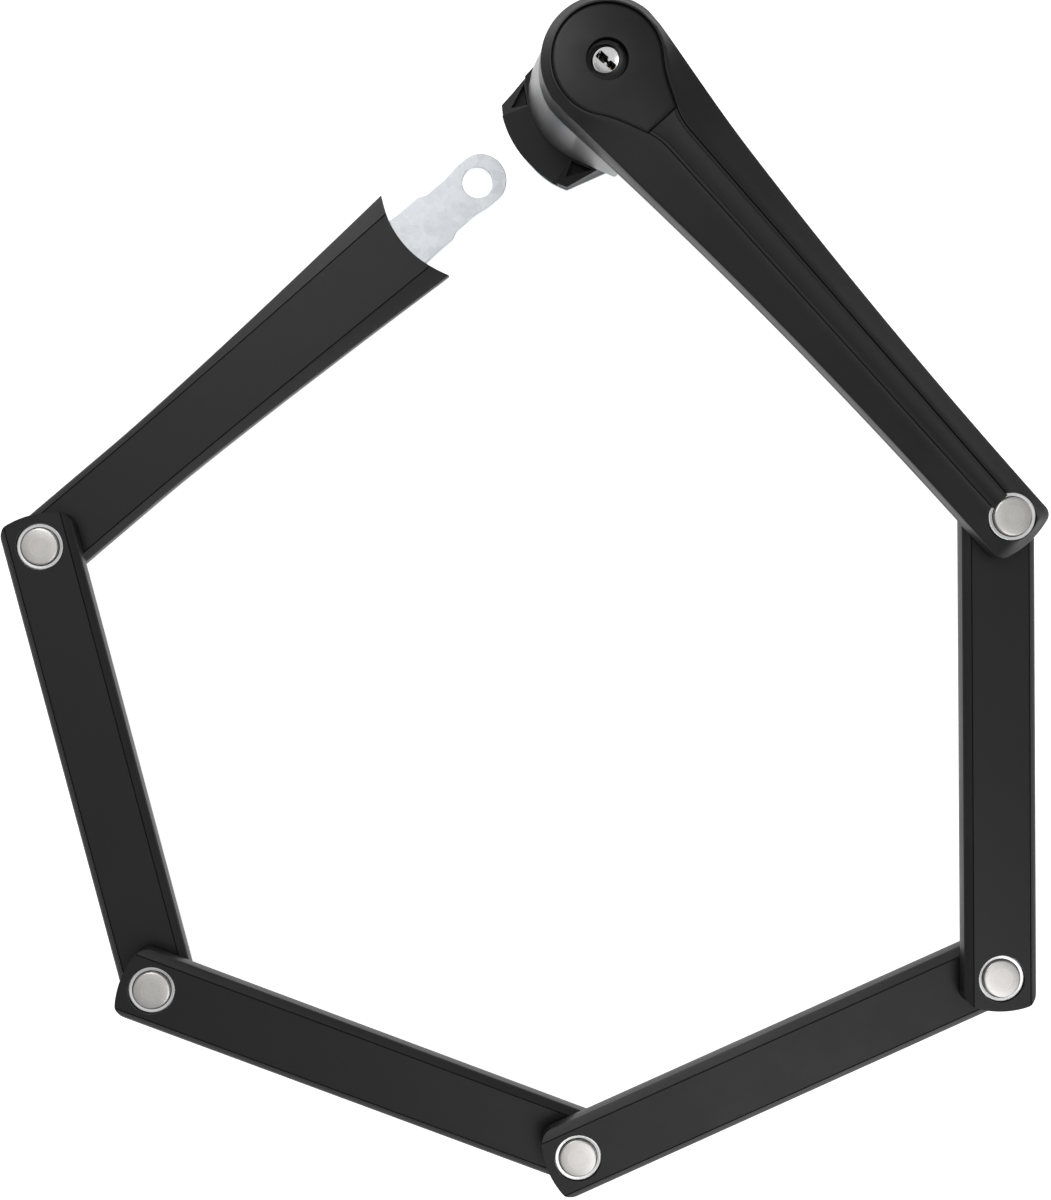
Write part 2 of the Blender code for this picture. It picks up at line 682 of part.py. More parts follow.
def lock_housing():
    """The casting between guide and body, wider at its foot, with a boss up into the body."""
    low = GUIDE_TOP + FIT
    high = BODY_BOTTOM - FIT
    boss_top = BODY_BAR_LOW - FIT
    foot = housing_outline(HOUSING_FOOT, HOUSING_FOOT_TIP, HOUSING_FAR_FOOT)
    head = housing_outline(HEAD_RADIUS - RUN, HOUSING_HEAD_TIP, HOUSING_FAR_HEAD)
    made = loft("lock_housing", [lifted(foot, low), lifted(head, high)], CAST)
    join(made, disc("housing_boss", HOUSING_BOSS, low + 0.002, boss_top, CAST))
    return cut(made,
               disc("cylinder_bore", CYLINDER_RADIUS + FIT, CYLINDER_BOTTOM - FIT,
                    boss_top + OVERRUN, CAST),
               disc("bolt_way", BOLT_STEM + RUN, low - OVERRUN, CYLINDER_BOTTOM + OVERRUN, CAST),
               solver="MANIFOLD")


def guide_outline(outer, hub):
    """A round hub joined by two tangents to the outer arc."""
    touch = math.degrees(math.acos(hub / outer))
    start = GUIDE_AIM + GUIDE_SPREAD + touch
    end = 360 + GUIDE_AIM - GUIDE_SPREAD - touch
    return (arc(outer, GUIDE_AIM - GUIDE_SPREAD, GUIDE_AIM + GUIDE_SPREAD, 18)
            + arc(hub, start, end, 28))


def tongue_slot(name, low, high):
    """The cross-shaped space that takes the tongue from the loop side or from the folded side."""
    half = TONGUE_BASE + SLIDE
    far = GUIDE_RADIUS + OVERRUN
    hub = TONGUE_REACH + SLIDE
    outline = [(-half, -far), (half, -far), (half, -half), (far, -half), (far, half),
               (hub - SLOT_CORNER, hub), (-hub + SLOT_CORNER, hub), (-hub, hub - SLOT_CORNER)]
    return plate(name, outline, low, high, BLACK)


def guide_pocket(i, side):
    """A three-cornered pocket beside one end of the guide's outer arc."""
    angle = math.radians(GUIDE_AIM + side * (GUIDE_SPREAD - 3))
    spot = Vector((math.cos(angle), math.sin(angle)))
    across = Vector((-spot.y, spot.x)) * side
    near = spot * (HOUSING_FOOT + 2 * RUN)
    corners = [near, spot * (GUIDE_RADIUS - POCKET_RIM), near + across * POCKET_REACH]
    if side > 0:
        corners.reverse()
    return plate(f"guide_pocket_{i}", [tuple(c) for c in corners], GUIDE_TOP - POCKET_DEPTH,
                 GUIDE_TOP + OVERRUN, BLACK)


def tongue_guide():
    """The black block that the tongue slides into, with a lip that widens to its top."""
    foot = guide_outline(GUIDE_FOOT_RADIUS, GUIDE_FOOT_HUB)
    made = loft("tongue_guide",
                [lifted(foot, BASE_PLATE + FIT), lifted(foot, GUIDE_SHOULDER),
                 lifted(guide_outline(GUIDE_RADIUS, GUIDE_HUB), GUIDE_TOP)], BLACK)
    tools = [tongue_slot("tongue_slot", BASE_PLATE, SLOT_TOP),
             disc("guide_bolt_way", BOLT_RADIUS + RUN, SLOT_TOP - OVERRUN, GUIDE_TOP + OVERRUN,
                  BLACK),
             disc("spring_space", COLLAR_RADIUS + RUN, SPRING_FLOOR, GUIDE_TOP + OVERRUN, BLACK)]
    tools += [guide_pocket(i, side) for i, side in enumerate((-1, 1))]
    tools += [screw_way(f"guide_screw_way_{i}", x, y, BLACK)
              for i, (x, y) in enumerate(screw_spots())]
    return cut(made, *tools)


def base_plate():
    made = plate("base_plate", guide_outline(GUIDE_FOOT_RADIUS + FIT, GUIDE_FOOT_HUB - FIT), 0,
                 BASE_PLATE, ZINC)
    well = disc("bolt_well", BOLT_RADIUS + RUN, WELL_FLOOR, BASE_PLATE + OVERRUN, ZINC)
    return cut(made, well, *[screw_seat(i, x, y) for i, (x, y) in enumerate(screw_spots(), 1)])


def screw_spots():
    return [(-0.0155, 0.0035), (0.0, 0.0165), (-0.0138, -0.0152), (0.0124, -0.0168)]


def screw_way(name, x, y, finish):
    return disc(name, SCREW_SHANK + FIT, BASE_PLATE - OVERRUN, SCREW_TIP + OVERRUN, finish, x=x, y=y,
                steps=12)


def screw_seat(i, x, y):
    """Stepped cutter for a screw's shank and its sunk head."""
    profile = [(0, BASE_PLATE + OVERRUN), (SCREW_SHANK + FIT, BASE_PLATE + OVERRUN),
               (SCREW_SHANK + FIT, SCREW_SEAT), (SCREW_HEAD + FIT, SCREW_SEAT),
               (SCREW_HEAD + FIT, -0.001), (0, -0.001)]
    return turned(f"screw_seat_{i}", profile, ZINC, x=x, y=y, steps=20)


def base_screw(i, x, y):
    """A flat-headed screw let into the base plate, with a hexagon socket."""
    low = 0.0002
    head = SCREW_SEAT - FIT
    profile = [(0, SCREW_TIP), (SCREW_SHANK, SCREW_TIP), (SCREW_SHANK, head), (SCREW_HEAD, head),
               (SCREW_HEAD, low), (0, low)]
    made = turned(f"base_screw_{i}", profile, STEEL, x=x, y=y, steps=12)
    return cut(made, disc(f"screw_socket_{i}", SCREW_SOCKET, low - OVERRUN, low + 0.0006, STEEL,
                          x=x, y=y, steps=6))


def keyway_outline():
    """A wide end and a narrow end, both with rounded corners, joined by a waist."""
    wide, waist, narrow = KEYWAY_HALVES
    left, right = KEYWAY_WAIST
    corners = [(KEYWAY_START, -wide), (left, -wide), (left, -waist), (right, -waist),
               (right, -narrow), (KEYWAY_END, -narrow), (KEYWAY_END, narrow), (right, narrow),
               (right, waist), (left, waist), (left, wide), (KEYWAY_START, wide)]
    return rounded(corners, KEYWAY_CORNER)


def cylinder_shell():
    made = ring("cylinder_shell", CYLINDER_RADIUS, PLUG_RADIUS + RUN, CYLINDER_BOTTOM,
                CYLINDER_TOP, COVER_BLACK)
    bar_way = plate("sidebar_way", [(PLUG_RADIUS - 0.0005, -0.0008), (PLUG_RADIUS + 0.0016, -0.0008),
                                    (PLUG_RADIUS + 0.0016, 0.0008), (PLUG_RADIUS - 0.0005, 0.0008)],
                    CYLINDER_BOTTOM + 0.004, CYLINDER_TOP - 0.004, COVER_BLACK)
    return cut(made, bar_way)


def cylinder_plug(axis):
    """The turning barrel: a face with the keyway, over a bore that holds the discs."""
    low = CYLINDER_BOTTOM + FIT
    made = disc("cylinder_plug", PLUG_RADIUS, low, PLUG_FACE, CHROME, axis, chamfer=RUN)
    tools = [plate("keyway", keyway_outline(), low + 0.002, PLUG_FACE + OVERRUN, CHROME, axis)]
    for i in range(DISC_COUNT):
        at = disc_low(i)
        tools.append(plate(f"disc_slot_{i}", [(-DISC_HALF, 0), (DISC_HALF, 0),
                                              (DISC_HALF, PLUG_RADIUS + OVERRUN),
                                              (-DISC_HALF, PLUG_RADIUS + OVERRUN)],
                           at - FIT, at + DISC_THICK + FIT, CHROME, axis))
    return cut(made, *tools)


def disc_low(i):
    return CYLINDER_BOTTOM + DISC_FOOT + i * (DISC_THICK + DISC_SPACE)


def detainer_disc(i, axis):
    """A half-round detainer that slides in from the plug's side, clear of the keyway."""
    half = DISC_HALF - FIT
    shoulder = math.sqrt((PLUG_RADIUS - RUN) ** 2 - half ** 2)
    crown = math.sqrt((PLUG_RADIUS - RUN) ** 2 - (half / 2) ** 2)
    outline = [(-half, DISC_FACE), (half, DISC_FACE), (half, shoulder), (half / 2, crown),
               (-half / 2, crown), (-half, shoulder)]
    at = disc_low(i)
    return plate(f"detainer_{i + 1}", outline, at, at + DISC_THICK, BRASS, axis)


def sidebar():
    x = PLUG_RADIUS + RUN
    return plate("sidebar", [(x, -0.0006), (x + 0.0011, -0.0006), (x + 0.0011, 0.0006), (x, 0.0006)],
                 CYLINDER_BOTTOM + 0.005, CYLINDER_TOP - 0.005, BRASS)


def locking_bolt():
    """The bolt, drawn back above the tongue slot, with the collar that its spring lifts."""
    low = SLOT_TOP + RUN
    top = CYLINDER_BOTTOM - RUN
    collar_top = COLLAR_LOW + COLLAR_THICK
    profile = [(0, top), (BOLT_STEM, top), (BOLT_STEM, collar_top), (COLLAR_RADIUS, collar_top),
               (COLLAR_RADIUS, COLLAR_LOW), (BOLT_RADIUS, COLLAR_LOW),
               (BOLT_RADIUS, low + 0.0006), (BOLT_RADIUS - 0.0006, low), (0, low)]
    return turned("locking_bolt", profile, STEEL)


def bolt_spring():
    """A compression spring round the bolt, between the guide's floor and the bolt's collar."""
    radius = BOLT_RADIUS + RUN + SPRING_WIRE
    low = SPRING_FLOOR + SPRING_WIRE + RUN
    high = COLLAR_LOW - SPRING_WIRE - RUN
    curve = bpy.data.curves.new("bolt_spring", "CURVE")
    curve.dimensions = "3D"
    curve.bevel_depth = SPRING_WIRE
    curve.bevel_resolution = 1
    curve.use_fill_caps = True
    line = curve.splines.new("POLY")
    count = SPRING_TURNS * 12
    line.points.add(count)
    for i, point in enumerate(line.points):
        a = 2 * math.pi * SPRING_TURNS * i / count
        point.co = (radius * math.cos(a), radius * math.sin(a), low + (high - low) * i / count, 1)
    made = bpy.data.objects.new("bolt_spring", curve)
    parts.objects.link(made)
    curve.materials.append(material(SPRING))
    weld = made.modifiers.new("caps", "WELD")
    weld.merge_threshold = 1e-6
    return made


def keyhole_shroud(axis):
    """A thin black washer over the plug's face; its window sits off the axis."""
    low = PLUG_FACE + FIT
    made = disc("keyhole_shroud", KEYHOLE_RADIUS - RUN, low, low + SHROUD_THICK, COVER_BLACK, axis)
    window = disc("shroud_window", PLUG_RADIUS, low - OVERRUN, low + OVERRUN, COVER_BLACK, axis,
                  x=-SHROUD_SHIFT)
    return cut(made, window)


def rivet_collar():
    """Collar that lifts the first rivet's ring from the low body bar to the cover's eye."""
    return ring("rivet_collar", RING_RADIUS - 2 * FIT, RIVET_SHANK + FIT, BODY_BAR_TOP + FIT,
                COLLAR_TOP, ZINC, x=BODY_LENGTH)


def build_links():
    pivot = None
    for k in range(1, LINK_COUNT + 1):
        reach = BODY_LENGTH if k == 1 else LINK_PITCH
        if k == 1:
            bar_top = BODY_BAR_TOP
            top = BODY_TOP - TOP_FALL
        else:
            bar_top = link_low(k - 1) + SKIN + BAR_THICK
            top = link_low(k - 1) + SLEEVE_THICK
        seat = empty(f"rivet_seat_{k}", pivot, reach, 0)
        rivet(k, seat, top, bar_top)
        pivot = empty(f"link_pivot_{k}", pivot, reach, TURNS[k - 1])
        if k < LINK_COUNT:
            link_bar(k, pivot)
            link_sleeve(k, pivot)
    last_bar(pivot)
    last_sleeve(pivot)


def build_body():
    body_cover()
    face_plate()
    centre_strip()
    body_tray()
    body_bar()
    rivet_collar()
    lock_housing()
    tongue_guide()
    base_plate()
    for i, (x, y) in enumerate(screw_spots(), 1):
        base_screw(i, x, y)


def build_cylinder():
    axis = empty("key_axis", None, 0, KEYWAY_TURN)
    cylinder_shell()
    cylinder_plug(axis)
    keyhole_shroud(axis)
    for i in range(DISC_COUNT):
        detainer_disc(i, axis)
    sidebar()
    locking_bolt()
    bolt_spring()


clear_scene()
parts = make_collection("folding_bike_lock")
cutters = make_collection("cutters")
build_links()
build_body()
build_cylinder()
bpy.context.view_layer.update()
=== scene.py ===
import json
import math

import bmesh
import bpy
from mathutils import Matrix, Vector


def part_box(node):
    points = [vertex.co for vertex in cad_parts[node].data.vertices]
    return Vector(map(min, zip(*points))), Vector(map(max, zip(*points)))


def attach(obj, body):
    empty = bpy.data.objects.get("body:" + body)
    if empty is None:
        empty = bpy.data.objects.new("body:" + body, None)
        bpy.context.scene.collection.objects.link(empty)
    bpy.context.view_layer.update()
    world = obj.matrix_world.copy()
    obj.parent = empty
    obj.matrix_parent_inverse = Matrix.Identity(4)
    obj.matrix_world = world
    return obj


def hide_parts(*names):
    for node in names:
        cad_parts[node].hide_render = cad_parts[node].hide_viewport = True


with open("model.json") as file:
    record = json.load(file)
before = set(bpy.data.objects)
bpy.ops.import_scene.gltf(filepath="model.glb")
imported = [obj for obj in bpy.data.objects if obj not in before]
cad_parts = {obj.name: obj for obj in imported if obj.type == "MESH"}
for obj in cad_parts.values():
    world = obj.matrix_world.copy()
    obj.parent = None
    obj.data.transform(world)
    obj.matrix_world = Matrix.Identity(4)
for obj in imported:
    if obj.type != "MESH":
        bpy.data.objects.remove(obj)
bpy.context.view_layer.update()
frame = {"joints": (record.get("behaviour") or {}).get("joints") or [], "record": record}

joints = {joint["name"]: joint for joint in frame["joints"]}
openings = {item["name"]: item["box_m"] for item in frame["record"]["physics"]["openings"]}
rivetAt = [Vector(joints[f"rivet_{k}_hinge"]["pos_m"][:2]) for k in range(1, 6)]
holeBox = openings["tongue_hole"]
holeAt = Vector([(holeBox[0][i] + holeBox[1][i]) / 2 for i in range(2)])
bodyLength = rivetAt[0].x
linkEnds = rivetAt + [holeAt]
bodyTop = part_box("face_plate")[1].z
scratch = bpy.data.collections.new("scratch")
bpy.context.scene.collection.children.link(scratch)


class Wire:
    # one output socket, with the arithmetic that grows its tree
    def __init__(self, graph, socket):
        self.graph = graph
        self.socket = socket

    def other(self, name):
        return Wire(self.graph, self.socket.node.outputs[name])

    def math(self, operation, *values):
        return self.graph.add("ShaderNodeMath", {"operation": operation}, dict(enumerate(values)))

    def __add__(self, value):
        return self.math("ADD", self, value)

    def __radd__(self, value):
        return self.math("ADD", value, self)

    def __sub__(self, value):
        return self.math("SUBTRACT", self, value)

    def __rsub__(self, value):
        return self.math("SUBTRACT", value, self)

    def __mul__(self, value):
        return self.math("MULTIPLY", self, value)

    def __truediv__(self, value):
        return self.math("DIVIDE", self, value)

    def __pow__(self, value):
        return self.math("POWER", self, value)

    def atLeast(self, value):
        return self.math("MAXIMUM", self, value)

    def atMost(self, value):
        return self.math("MINIMUM", self, value)

    def within(self, low, high):
        return self.atLeast(low).atMost(high)


class Graph:
    # a shader tree or a geometry tree, filled node by node
    def __init__(self, tree):
        self.tree = tree

    def add(self, kind, settings=None, values=None, out=0):
        node = self.tree.nodes.new(kind)
        for name, value in (settings or {}).items():
            if name == "stops":
                fillRamp(node.color_ramp, value)
            else:
                setattr(node, name, value)
        for key, value in (values or {}).items():
            socket = node.inputs[key]
            for one in (value if isinstance(value, list) else [value]):
                if isinstance(one, Wire):
                    self.tree.links.new(one.socket, socket)
                else:
                    socket.default_value = one
        return Wire(self, node.outputs[out]) if len(node.outputs) else node


def fillRamp(ramp, stops):
    while len(ramp.elements) < len(stops):
        ramp.elements.new(0.5)
    for element, (position, color) in zip(ramp.elements, stops):
        element.position = position
        element.color = (*color, 1.0) if isinstance(color, tuple) else (color, color, color, 1.0)


# finishes

def newFinish(name, color, roughness, metallic=0.0, specular=0.5):
    made = bpy.data.materials.new(name)
    made.use_nodes = True
    graph = Graph(made.node_tree)
    shader = made.node_tree.nodes["Principled BSDF"]
    shader.inputs["Base Color"].default_value = (*color, 1.0)
    shader.inputs["Roughness"].default_value = roughness
    shader.inputs["Metallic"].default_value = metallic
    shader.inputs["Specular IOR Level"].default_value = specular
    return made, graph, shader


def feed(graph, shader, **sockets):
    names = {"color": "Base Color", "roughness": "Roughness", "normal": "Normal"}
    for key, wire in sockets.items():
        graph.tree.links.new(wire.socket, shader.inputs[names[key]])


def objectSpace(graph, scale=(1, 1, 1), turn=0.0):
    spot = graph.add("ShaderNodeTexCoord", out="Object")
    return graph.add("ShaderNodeMapping", None,
                     {"Vector": spot, "Scale": scale, "Rotation": (0, 0, turn)})


def noise(graph, where, scale, detail=2.0, rough=0.5):
    return graph.add("ShaderNodeTexNoise", None, {"Vector": where, "Scale": scale,
                                                  "Detail": detail, "Roughness": rough})


def ringNoise(graph, radius, scale, detail):
    return graph.add("ShaderNodeTexNoise", {"noise_dimensions": "1D"},
                     {"W": radius, "Scale": scale, "Detail": detail})


def masked(graph, mask, low, high):
    return graph.add("ShaderNodeValToRGB", {"stops": [(low, 0.0), (high, 1.0)]}, {"Fac": mask})


def tint(graph, mask, low, high):
    low = low if isinstance(low, Wire) else (*low, 1.0)
    return graph.add("ShaderNodeMix", {"data_type": "RGBA"},
                     {0: mask, 6: low, 7: (*high, 1.0)}, out=2)


def bump(graph, height, distance):
    return graph.add("ShaderNodeBump", None,
                     {"Height": height, "Distance": distance, "Strength": 1.0})


mouldings = {
    "coverBlack": {"color": (0.0085, 0.0085, 0.0088), "worn": (0.020, 0.020, 0.021),
                   "roughness": 0.41, "grain": 5200.0, "depth": 0.000022, "specular": 0.44},
    "sleeveBlack": {"color": (0.0075, 0.0075, 0.0077), "worn": (0.018, 0.018, 0.018),
                    "roughness": 0.42, "grain": 4300.0, "depth": 0.000026, "specular": 0.42},
    "guideBlack": {"color": (0.0060, 0.0060, 0.0062), "worn": (0.014, 0.014, 0.014),
                   "roughness": 0.44, "grain": 6500.0, "depth": 0.000014, "specular": 0.30},
    "shroudBlack": {"color": (0.0040, 0.0040, 0.0042), "worn": (0.009, 0.009, 0.009),
                    "roughness": 0.34, "grain": 8000.0, "depth": 0.000006, "specular": 0.35},
}


def mouldedBlack(name):
    # spark-eroded grain, faint flow marks, handling haze and paler rubbed specks
    size = mouldings[name]
    made, graph, shader = newFinish(name, size["color"], size["roughness"],
                                    specular=size["specular"])
    where = objectSpace(graph)
    grain = noise(graph, where, size["grain"], 3.0, 0.62)
    haze = noise(graph, where, 42.0, 4.0, 0.55)
    flow = noise(graph, objectSpace(graph, (1.0, 1.0, 6.0), 0.4), 160.0, 3.0, 0.6)
    specks = masked(graph, noise(graph, where, 2600.0, 2.0, 0.7), 0.66, 0.80)
    rubbed = (haze * 0.45 + specks * 0.35).within(0.0, 1.0)
    feed(graph, shader,
         color=tint(graph, rubbed, size["color"], size["worn"]),
         roughness=size["roughness"] + (haze - 0.5) * 0.16 + (flow - 0.5) * 0.10 + specks * 0.05,
         normal=bump(graph, grain + flow * 0.35, size["depth"]))
    return made


def zincPlated():
    # bluish zinc with soft spangle, rolling lines and a few scuffs
    made, graph, shader = newFinish("zincPlate", (0.80, 0.83, 0.87), 0.34, metallic=1.0)
    where = objectSpace(graph)
    spangle = graph.add("ShaderNodeTexVoronoi", None, {"Vector": where, "Scale": 330.0,
                                                       "Randomness": 1.0}, out="Color")
    patch = graph.add("ShaderNodeSeparateColor", None, {0: spangle})
    cloud = noise(graph, where, 130.0, 5.0, 0.65)
    lines = noise(graph, objectSpace(graph, (9.0, 1.0, 1.0), 0.02), 700.0, 3.0, 0.6)
    scuffs = masked(graph, noise(graph, objectSpace(graph, (1.0, 5.0, 1.0), 0.7), 420.0),
                    0.60, 0.72)
    mottle = (cloud * 0.75 + patch * 0.25).within(0.0, 1.0)
    contrast = masked(graph, mottle, 0.36, 0.62)
    feed(graph, shader,
         color=tint(graph, contrast, (0.58, 0.605, 0.635), (0.74, 0.765, 0.79)),
         roughness=0.30 + contrast * 0.14 + scuffs * 0.12 + (lines - 0.5) * 0.10,
         normal=bump(graph, lines * 0.6 + cloud * 0.8, 0.00002))
    return made


def turnedSteel(name, dark, bright, roughness, depth=0.000010, gap=None):
    # a lathe-faced end: fine rings about the piece's own axis, and soft stain
    made, graph, shader = newFinish(name, bright, roughness, metallic=1.0)
    radius = graph.add("ShaderNodeAttribute", {"attribute_name": "turnRadius"}, out="Fac")
    pitch = 0.00022
    rings = ringNoise(graph, radius, 1.0 / pitch, 2.0)
    bands = ringNoise(graph, radius, 0.30 / pitch, 1.0)
    where = objectSpace(graph)
    stain = noise(graph, where, 260.0, 4.0, 0.6)
    speck = noise(graph, where, 5200.0, 2.0, 0.6)
    shade = ((rings - 0.5) * 0.6 + (bands - 0.5) * 0.4 + (stain - 0.5) * 0.5
             + (speck - 0.5) * 1.1 + 0.68).within(0.0, 1.0)
    color = tint(graph, shade, dark, bright)
    if gap:
        # a near-black band is painted where head and ring nearly meet: painted shade in the gap
        # between them
        middle, reach = gap
        away = radius - middle
        gapShade = (1.4 - away.math("ABSOLUTE", away) / reach).within(0.0, 1.0)
        color = tint(graph, gapShade, color, (0.012, 0.011, 0.010))
    feed(graph, shader, color=color,
         roughness=roughness + (rings - 0.5) * 0.20 + (stain - 0.5) * 0.16,
         normal=bump(graph, rings, depth))
    return made


def castSatin():
    # blasted die casting: fine even sparkle over a slow cloud
    made, graph, shader = newFinish("satinCasting", (0.36, 0.36, 0.365), 0.44, metallic=1.0)
    where = objectSpace(graph)
    blast = noise(graph, where, 3600.0, 3.0, 0.65)
    cloud = noise(graph, where, 70.0, 3.0, 0.5)
    feed(graph, shader,
         color=tint(graph, (cloud * 0.6 + blast * 0.4).within(0.0, 1.0), (0.20, 0.20, 0.205),
                    (0.42, 0.42, 0.425)),
         roughness=0.40 + blast * 0.12 + (cloud - 0.5) * 0.08,
         normal=bump(graph, blast, 0.00003))
    return made


def plainMetal(name, dark, bright, roughness):
    # drawn or stamped stock with a long grain and slow wear
    made, graph, shader = newFinish(name, bright, roughness, metallic=1.0)
    where = objectSpace(graph)
    wear = noise(graph, where, 210.0, 4.0, 0.6)
    drawn = noise(graph, objectSpace(graph, (1.0, 1.0, 7.0)), 900.0, 3.0, 0.6)
    feed(graph, shader,
         color=tint(graph, wear, dark, bright),
         roughness=roughness + (drawn - 0.5) * 0.14 + (wear - 0.5) * 0.10,
         normal=bump(graph, drawn, 0.00001))
    return made


finishes = {name: mouldedBlack(name) for name in mouldings}
finishes["zincPlate"] = zincPlated()
# gap places a painted shade band on the rivet heads and rings, where the two nearly meet
finishes["rivetSteel"] = turnedSteel("rivetSteel", (0.60, 0.58, 0.56), (0.88, 0.855, 0.83),
                                     0.42, depth=0.000014, gap=(0.00640, 0.00022))
finishes["screwSteel"] = turnedSteel("screwSteel", (0.40, 0.39, 0.38), (0.62, 0.60, 0.58), 0.32)
finishes["ringZinc"] = turnedSteel("ringZinc", (0.90, 0.915, 0.93), (0.99, 0.99, 0.99), 0.34,
                                   gap=(0.00645, 0.00020))
finishes["plugChrome"] = turnedSteel("plugChrome", (0.80, 0.80, 0.81), (0.93, 0.93, 0.94), 0.12)
finishes["satinCasting"] = castSatin()
finishes["brass"] = plainMetal("brass", (0.48, 0.33, 0.12), (0.72, 0.55, 0.24), 0.32)
finishes["springWire"] = plainMetal("springWire", (0.26, 0.26, 0.27), (0.46, 0.46, 0.48), 0.30)
# near-black metal for the keyway walls: painted shade in the deep recess
finishes["wellDark"] = plainMetal("wellDark", (0.010, 0.009, 0.008), (0.030, 0.026, 0.020), 0.5)
finishes["boltSteel"] = plainMetal("boltSteel", (0.50, 0.50, 0.51), (0.72, 0.72, 0.73), 0.26)
print("finishes ready:", len(finishes))


# geometry trees

def newTree(name, inputs):
    tree = bpy.data.node_groups.new(name, "GeometryNodeTree")
    face = tree.interface
    face.new_socket(name="Geometry", in_out="INPUT", socket_type="NodeSocketGeometry")
    for label, kind, value in inputs:
        socket = face.new_socket(name=label, in_out="INPUT", socket_type=kind)
        if value is not None:
            socket.default_value = value
    face.new_socket(name="Geometry", in_out="OUTPUT", socket_type="NodeSocketGeometry")
    graph = Graph(tree)
    entry = tree.nodes.new("NodeGroupInput")
    wires = {socket.name: Wire(graph, socket) for socket in entry.outputs if socket.name}
    return tree, graph, wires


def closeTree(graph, shape, finish):
    real = graph.add("GeometryNodeRealizeInstances", None, {"Geometry": shape})
    painted = graph.add("GeometryNodeSetMaterial", None, {"Geometry": real, "Material": finish})
    graph.add("NodeGroupOutput", None, {"Geometry": painted})


def gridOn(graph, across, along):
    # a flat sheet of across by along points, with each point's two whole-number places
    sheet = graph.add("GeometryNodeMeshGrid", None,
                      {"Size X": across - 1, "Size Y": along - 1, "Vertices X": across,
                       "Vertices Y": along})
    place = graph.add("ShaderNodeSeparateXYZ", None, {0: graph.add("GeometryNodeInputPosition")})
    column = place.other("X") + (across - 1) / 2
    row = place.other("Y") + (along - 1) / 2
    return sheet, column.math("ROUND", column), row.math("ROUND", row)


def sampled(graph, points, index):
    spot = graph.add("GeometryNodeSampleIndex", {"data_type": "FLOAT_VECTOR"},
                     {"Geometry": points, "Value": graph.add("GeometryNodeInputPosition"),
                      "Index": index})
    return graph.add("ShaderNodeSeparateXYZ", None, {0: spot})


def movedTo(graph, shape, x, y, z):
    spot = graph.add("ShaderNodeCombineXYZ", None, {0: x, 1: y, 2: z})
    moved = graph.add("GeometryNodeSetPosition", None, {"Geometry": shape, "Position": spot})
    return graph.add("GeometryNodeMergeByDistance", None, {"Geometry": moved, "Distance": 1e-6})


def spun(graph, points, steps, count):
    # the carried profile, (radius, 0, height), spun about z and tagged with its radius
    sheet, turn, row = gridOn(graph, steps + 1, count)
    profile = sampled(graph, points, row)
    radius = profile.other("X")
    angle = turn * (2 * math.pi / steps)
    tagged = graph.add("GeometryNodeStoreNamedAttribute",
                       {"data_type": "FLOAT", "domain": "POINT"},
                       {"Geometry": sheet, "Name": "turnRadius", "Value": radius})
    return movedTo(graph, tagged, radius * angle.math("COSINE", angle),
                   radius * angle.math("SINE", angle), profile.other("Z"))


def cutFrom(graph, shape, cutters):
    return graph.add("GeometryNodeMeshBoolean", {"operation": "DIFFERENCE", "solver": "EXACT"},
                     {"Mesh 1": shape, "Mesh 2": cutters})


def latheTree(steps, count):
    inputs = [("Finish", "NodeSocketMaterial", None)]
    tree, graph, given = newTree(f"lathe {steps} by {count}", inputs)
    closeTree(graph, spun(graph, given["Geometry"], steps, count), given["Finish"])
    return tree


def setInput(modifier, name, value):
    for item in modifier.node_group.interface.items_tree:
        if item.item_type == "SOCKET" and item.in_out == "INPUT" and item.name == name:
            modifier[item.identifier] = value


def edgesOnly(name, points):
    mesh = bpy.data.meshes.new(name)
    mesh.from_pydata(points, [(i, i + 1) for i in range(len(points) - 1)], [])
    return mesh


def placed(name, mesh):
    made = bpy.data.objects.new(name, mesh)
    bpy.context.scene.collection.objects.link(made)
    return made


def closedPiece(name, work):
    bmesh.ops.recalc_face_normals(work, faces=work.faces)
    mesh = bpy.data.meshes.new(name)
    work.to_mesh(mesh)
    work.free()
    return placed(name, mesh)


def band(work, loops):
    # four-sided faces between each ring of points and the next
    for a, b in zip(loops, loops[1:]):
        for i in range(len(a)):
            j = (i + 1) % len(a)
            work.faces.new((a[i], a[j], b[j], b[i]))


def lid(work, loop):
    edges = [work.edges.get((loop[i - 1], loop[i])) for i in range(len(loop))]
    bmesh.ops.triangle_fill(work, edges=edges, use_beauty=True)


def limited(value):
    return min(1.0, max(0.0, value))


def blended(first, second, t):
    return [(a[0] + (b[0] - a[0]) * t, a[1] + (b[1] - a[1]) * t) for a, b in zip(first, second)]


def grown(name, mesh, tree, values, where):
    # runs a tree on a mesh and keeps the plain result, tidied and in its place
    carrier = bpy.data.objects.new(name + " carrier", mesh)
    scratch.objects.link(carrier)
    step = carrier.modifiers.new("tree", "NODES")
    step.node_group = tree
    for key, value in values.items():
        setInput(step, key, value)
    bpy.context.view_layer.update()
    ready = carrier.evaluated_get(bpy.context.evaluated_depsgraph_get())
    result = bpy.data.meshes.new_from_object(ready)
    bpy.data.objects.remove(carrier)
    tidyMesh(result)
    result.transform(where)
    return placed(name, result)


def tidyMesh(mesh):
    work = bmesh.new()
    work.from_mesh(mesh)
    bmesh.ops.remove_doubles(work, verts=work.verts, dist=1e-6)
    bmesh.ops.dissolve_degenerate(work, edges=work.edges, dist=1e-7)
    bmesh.ops.recalc_face_normals(work, faces=work.faces)
    work.to_mesh(mesh)
    work.free()


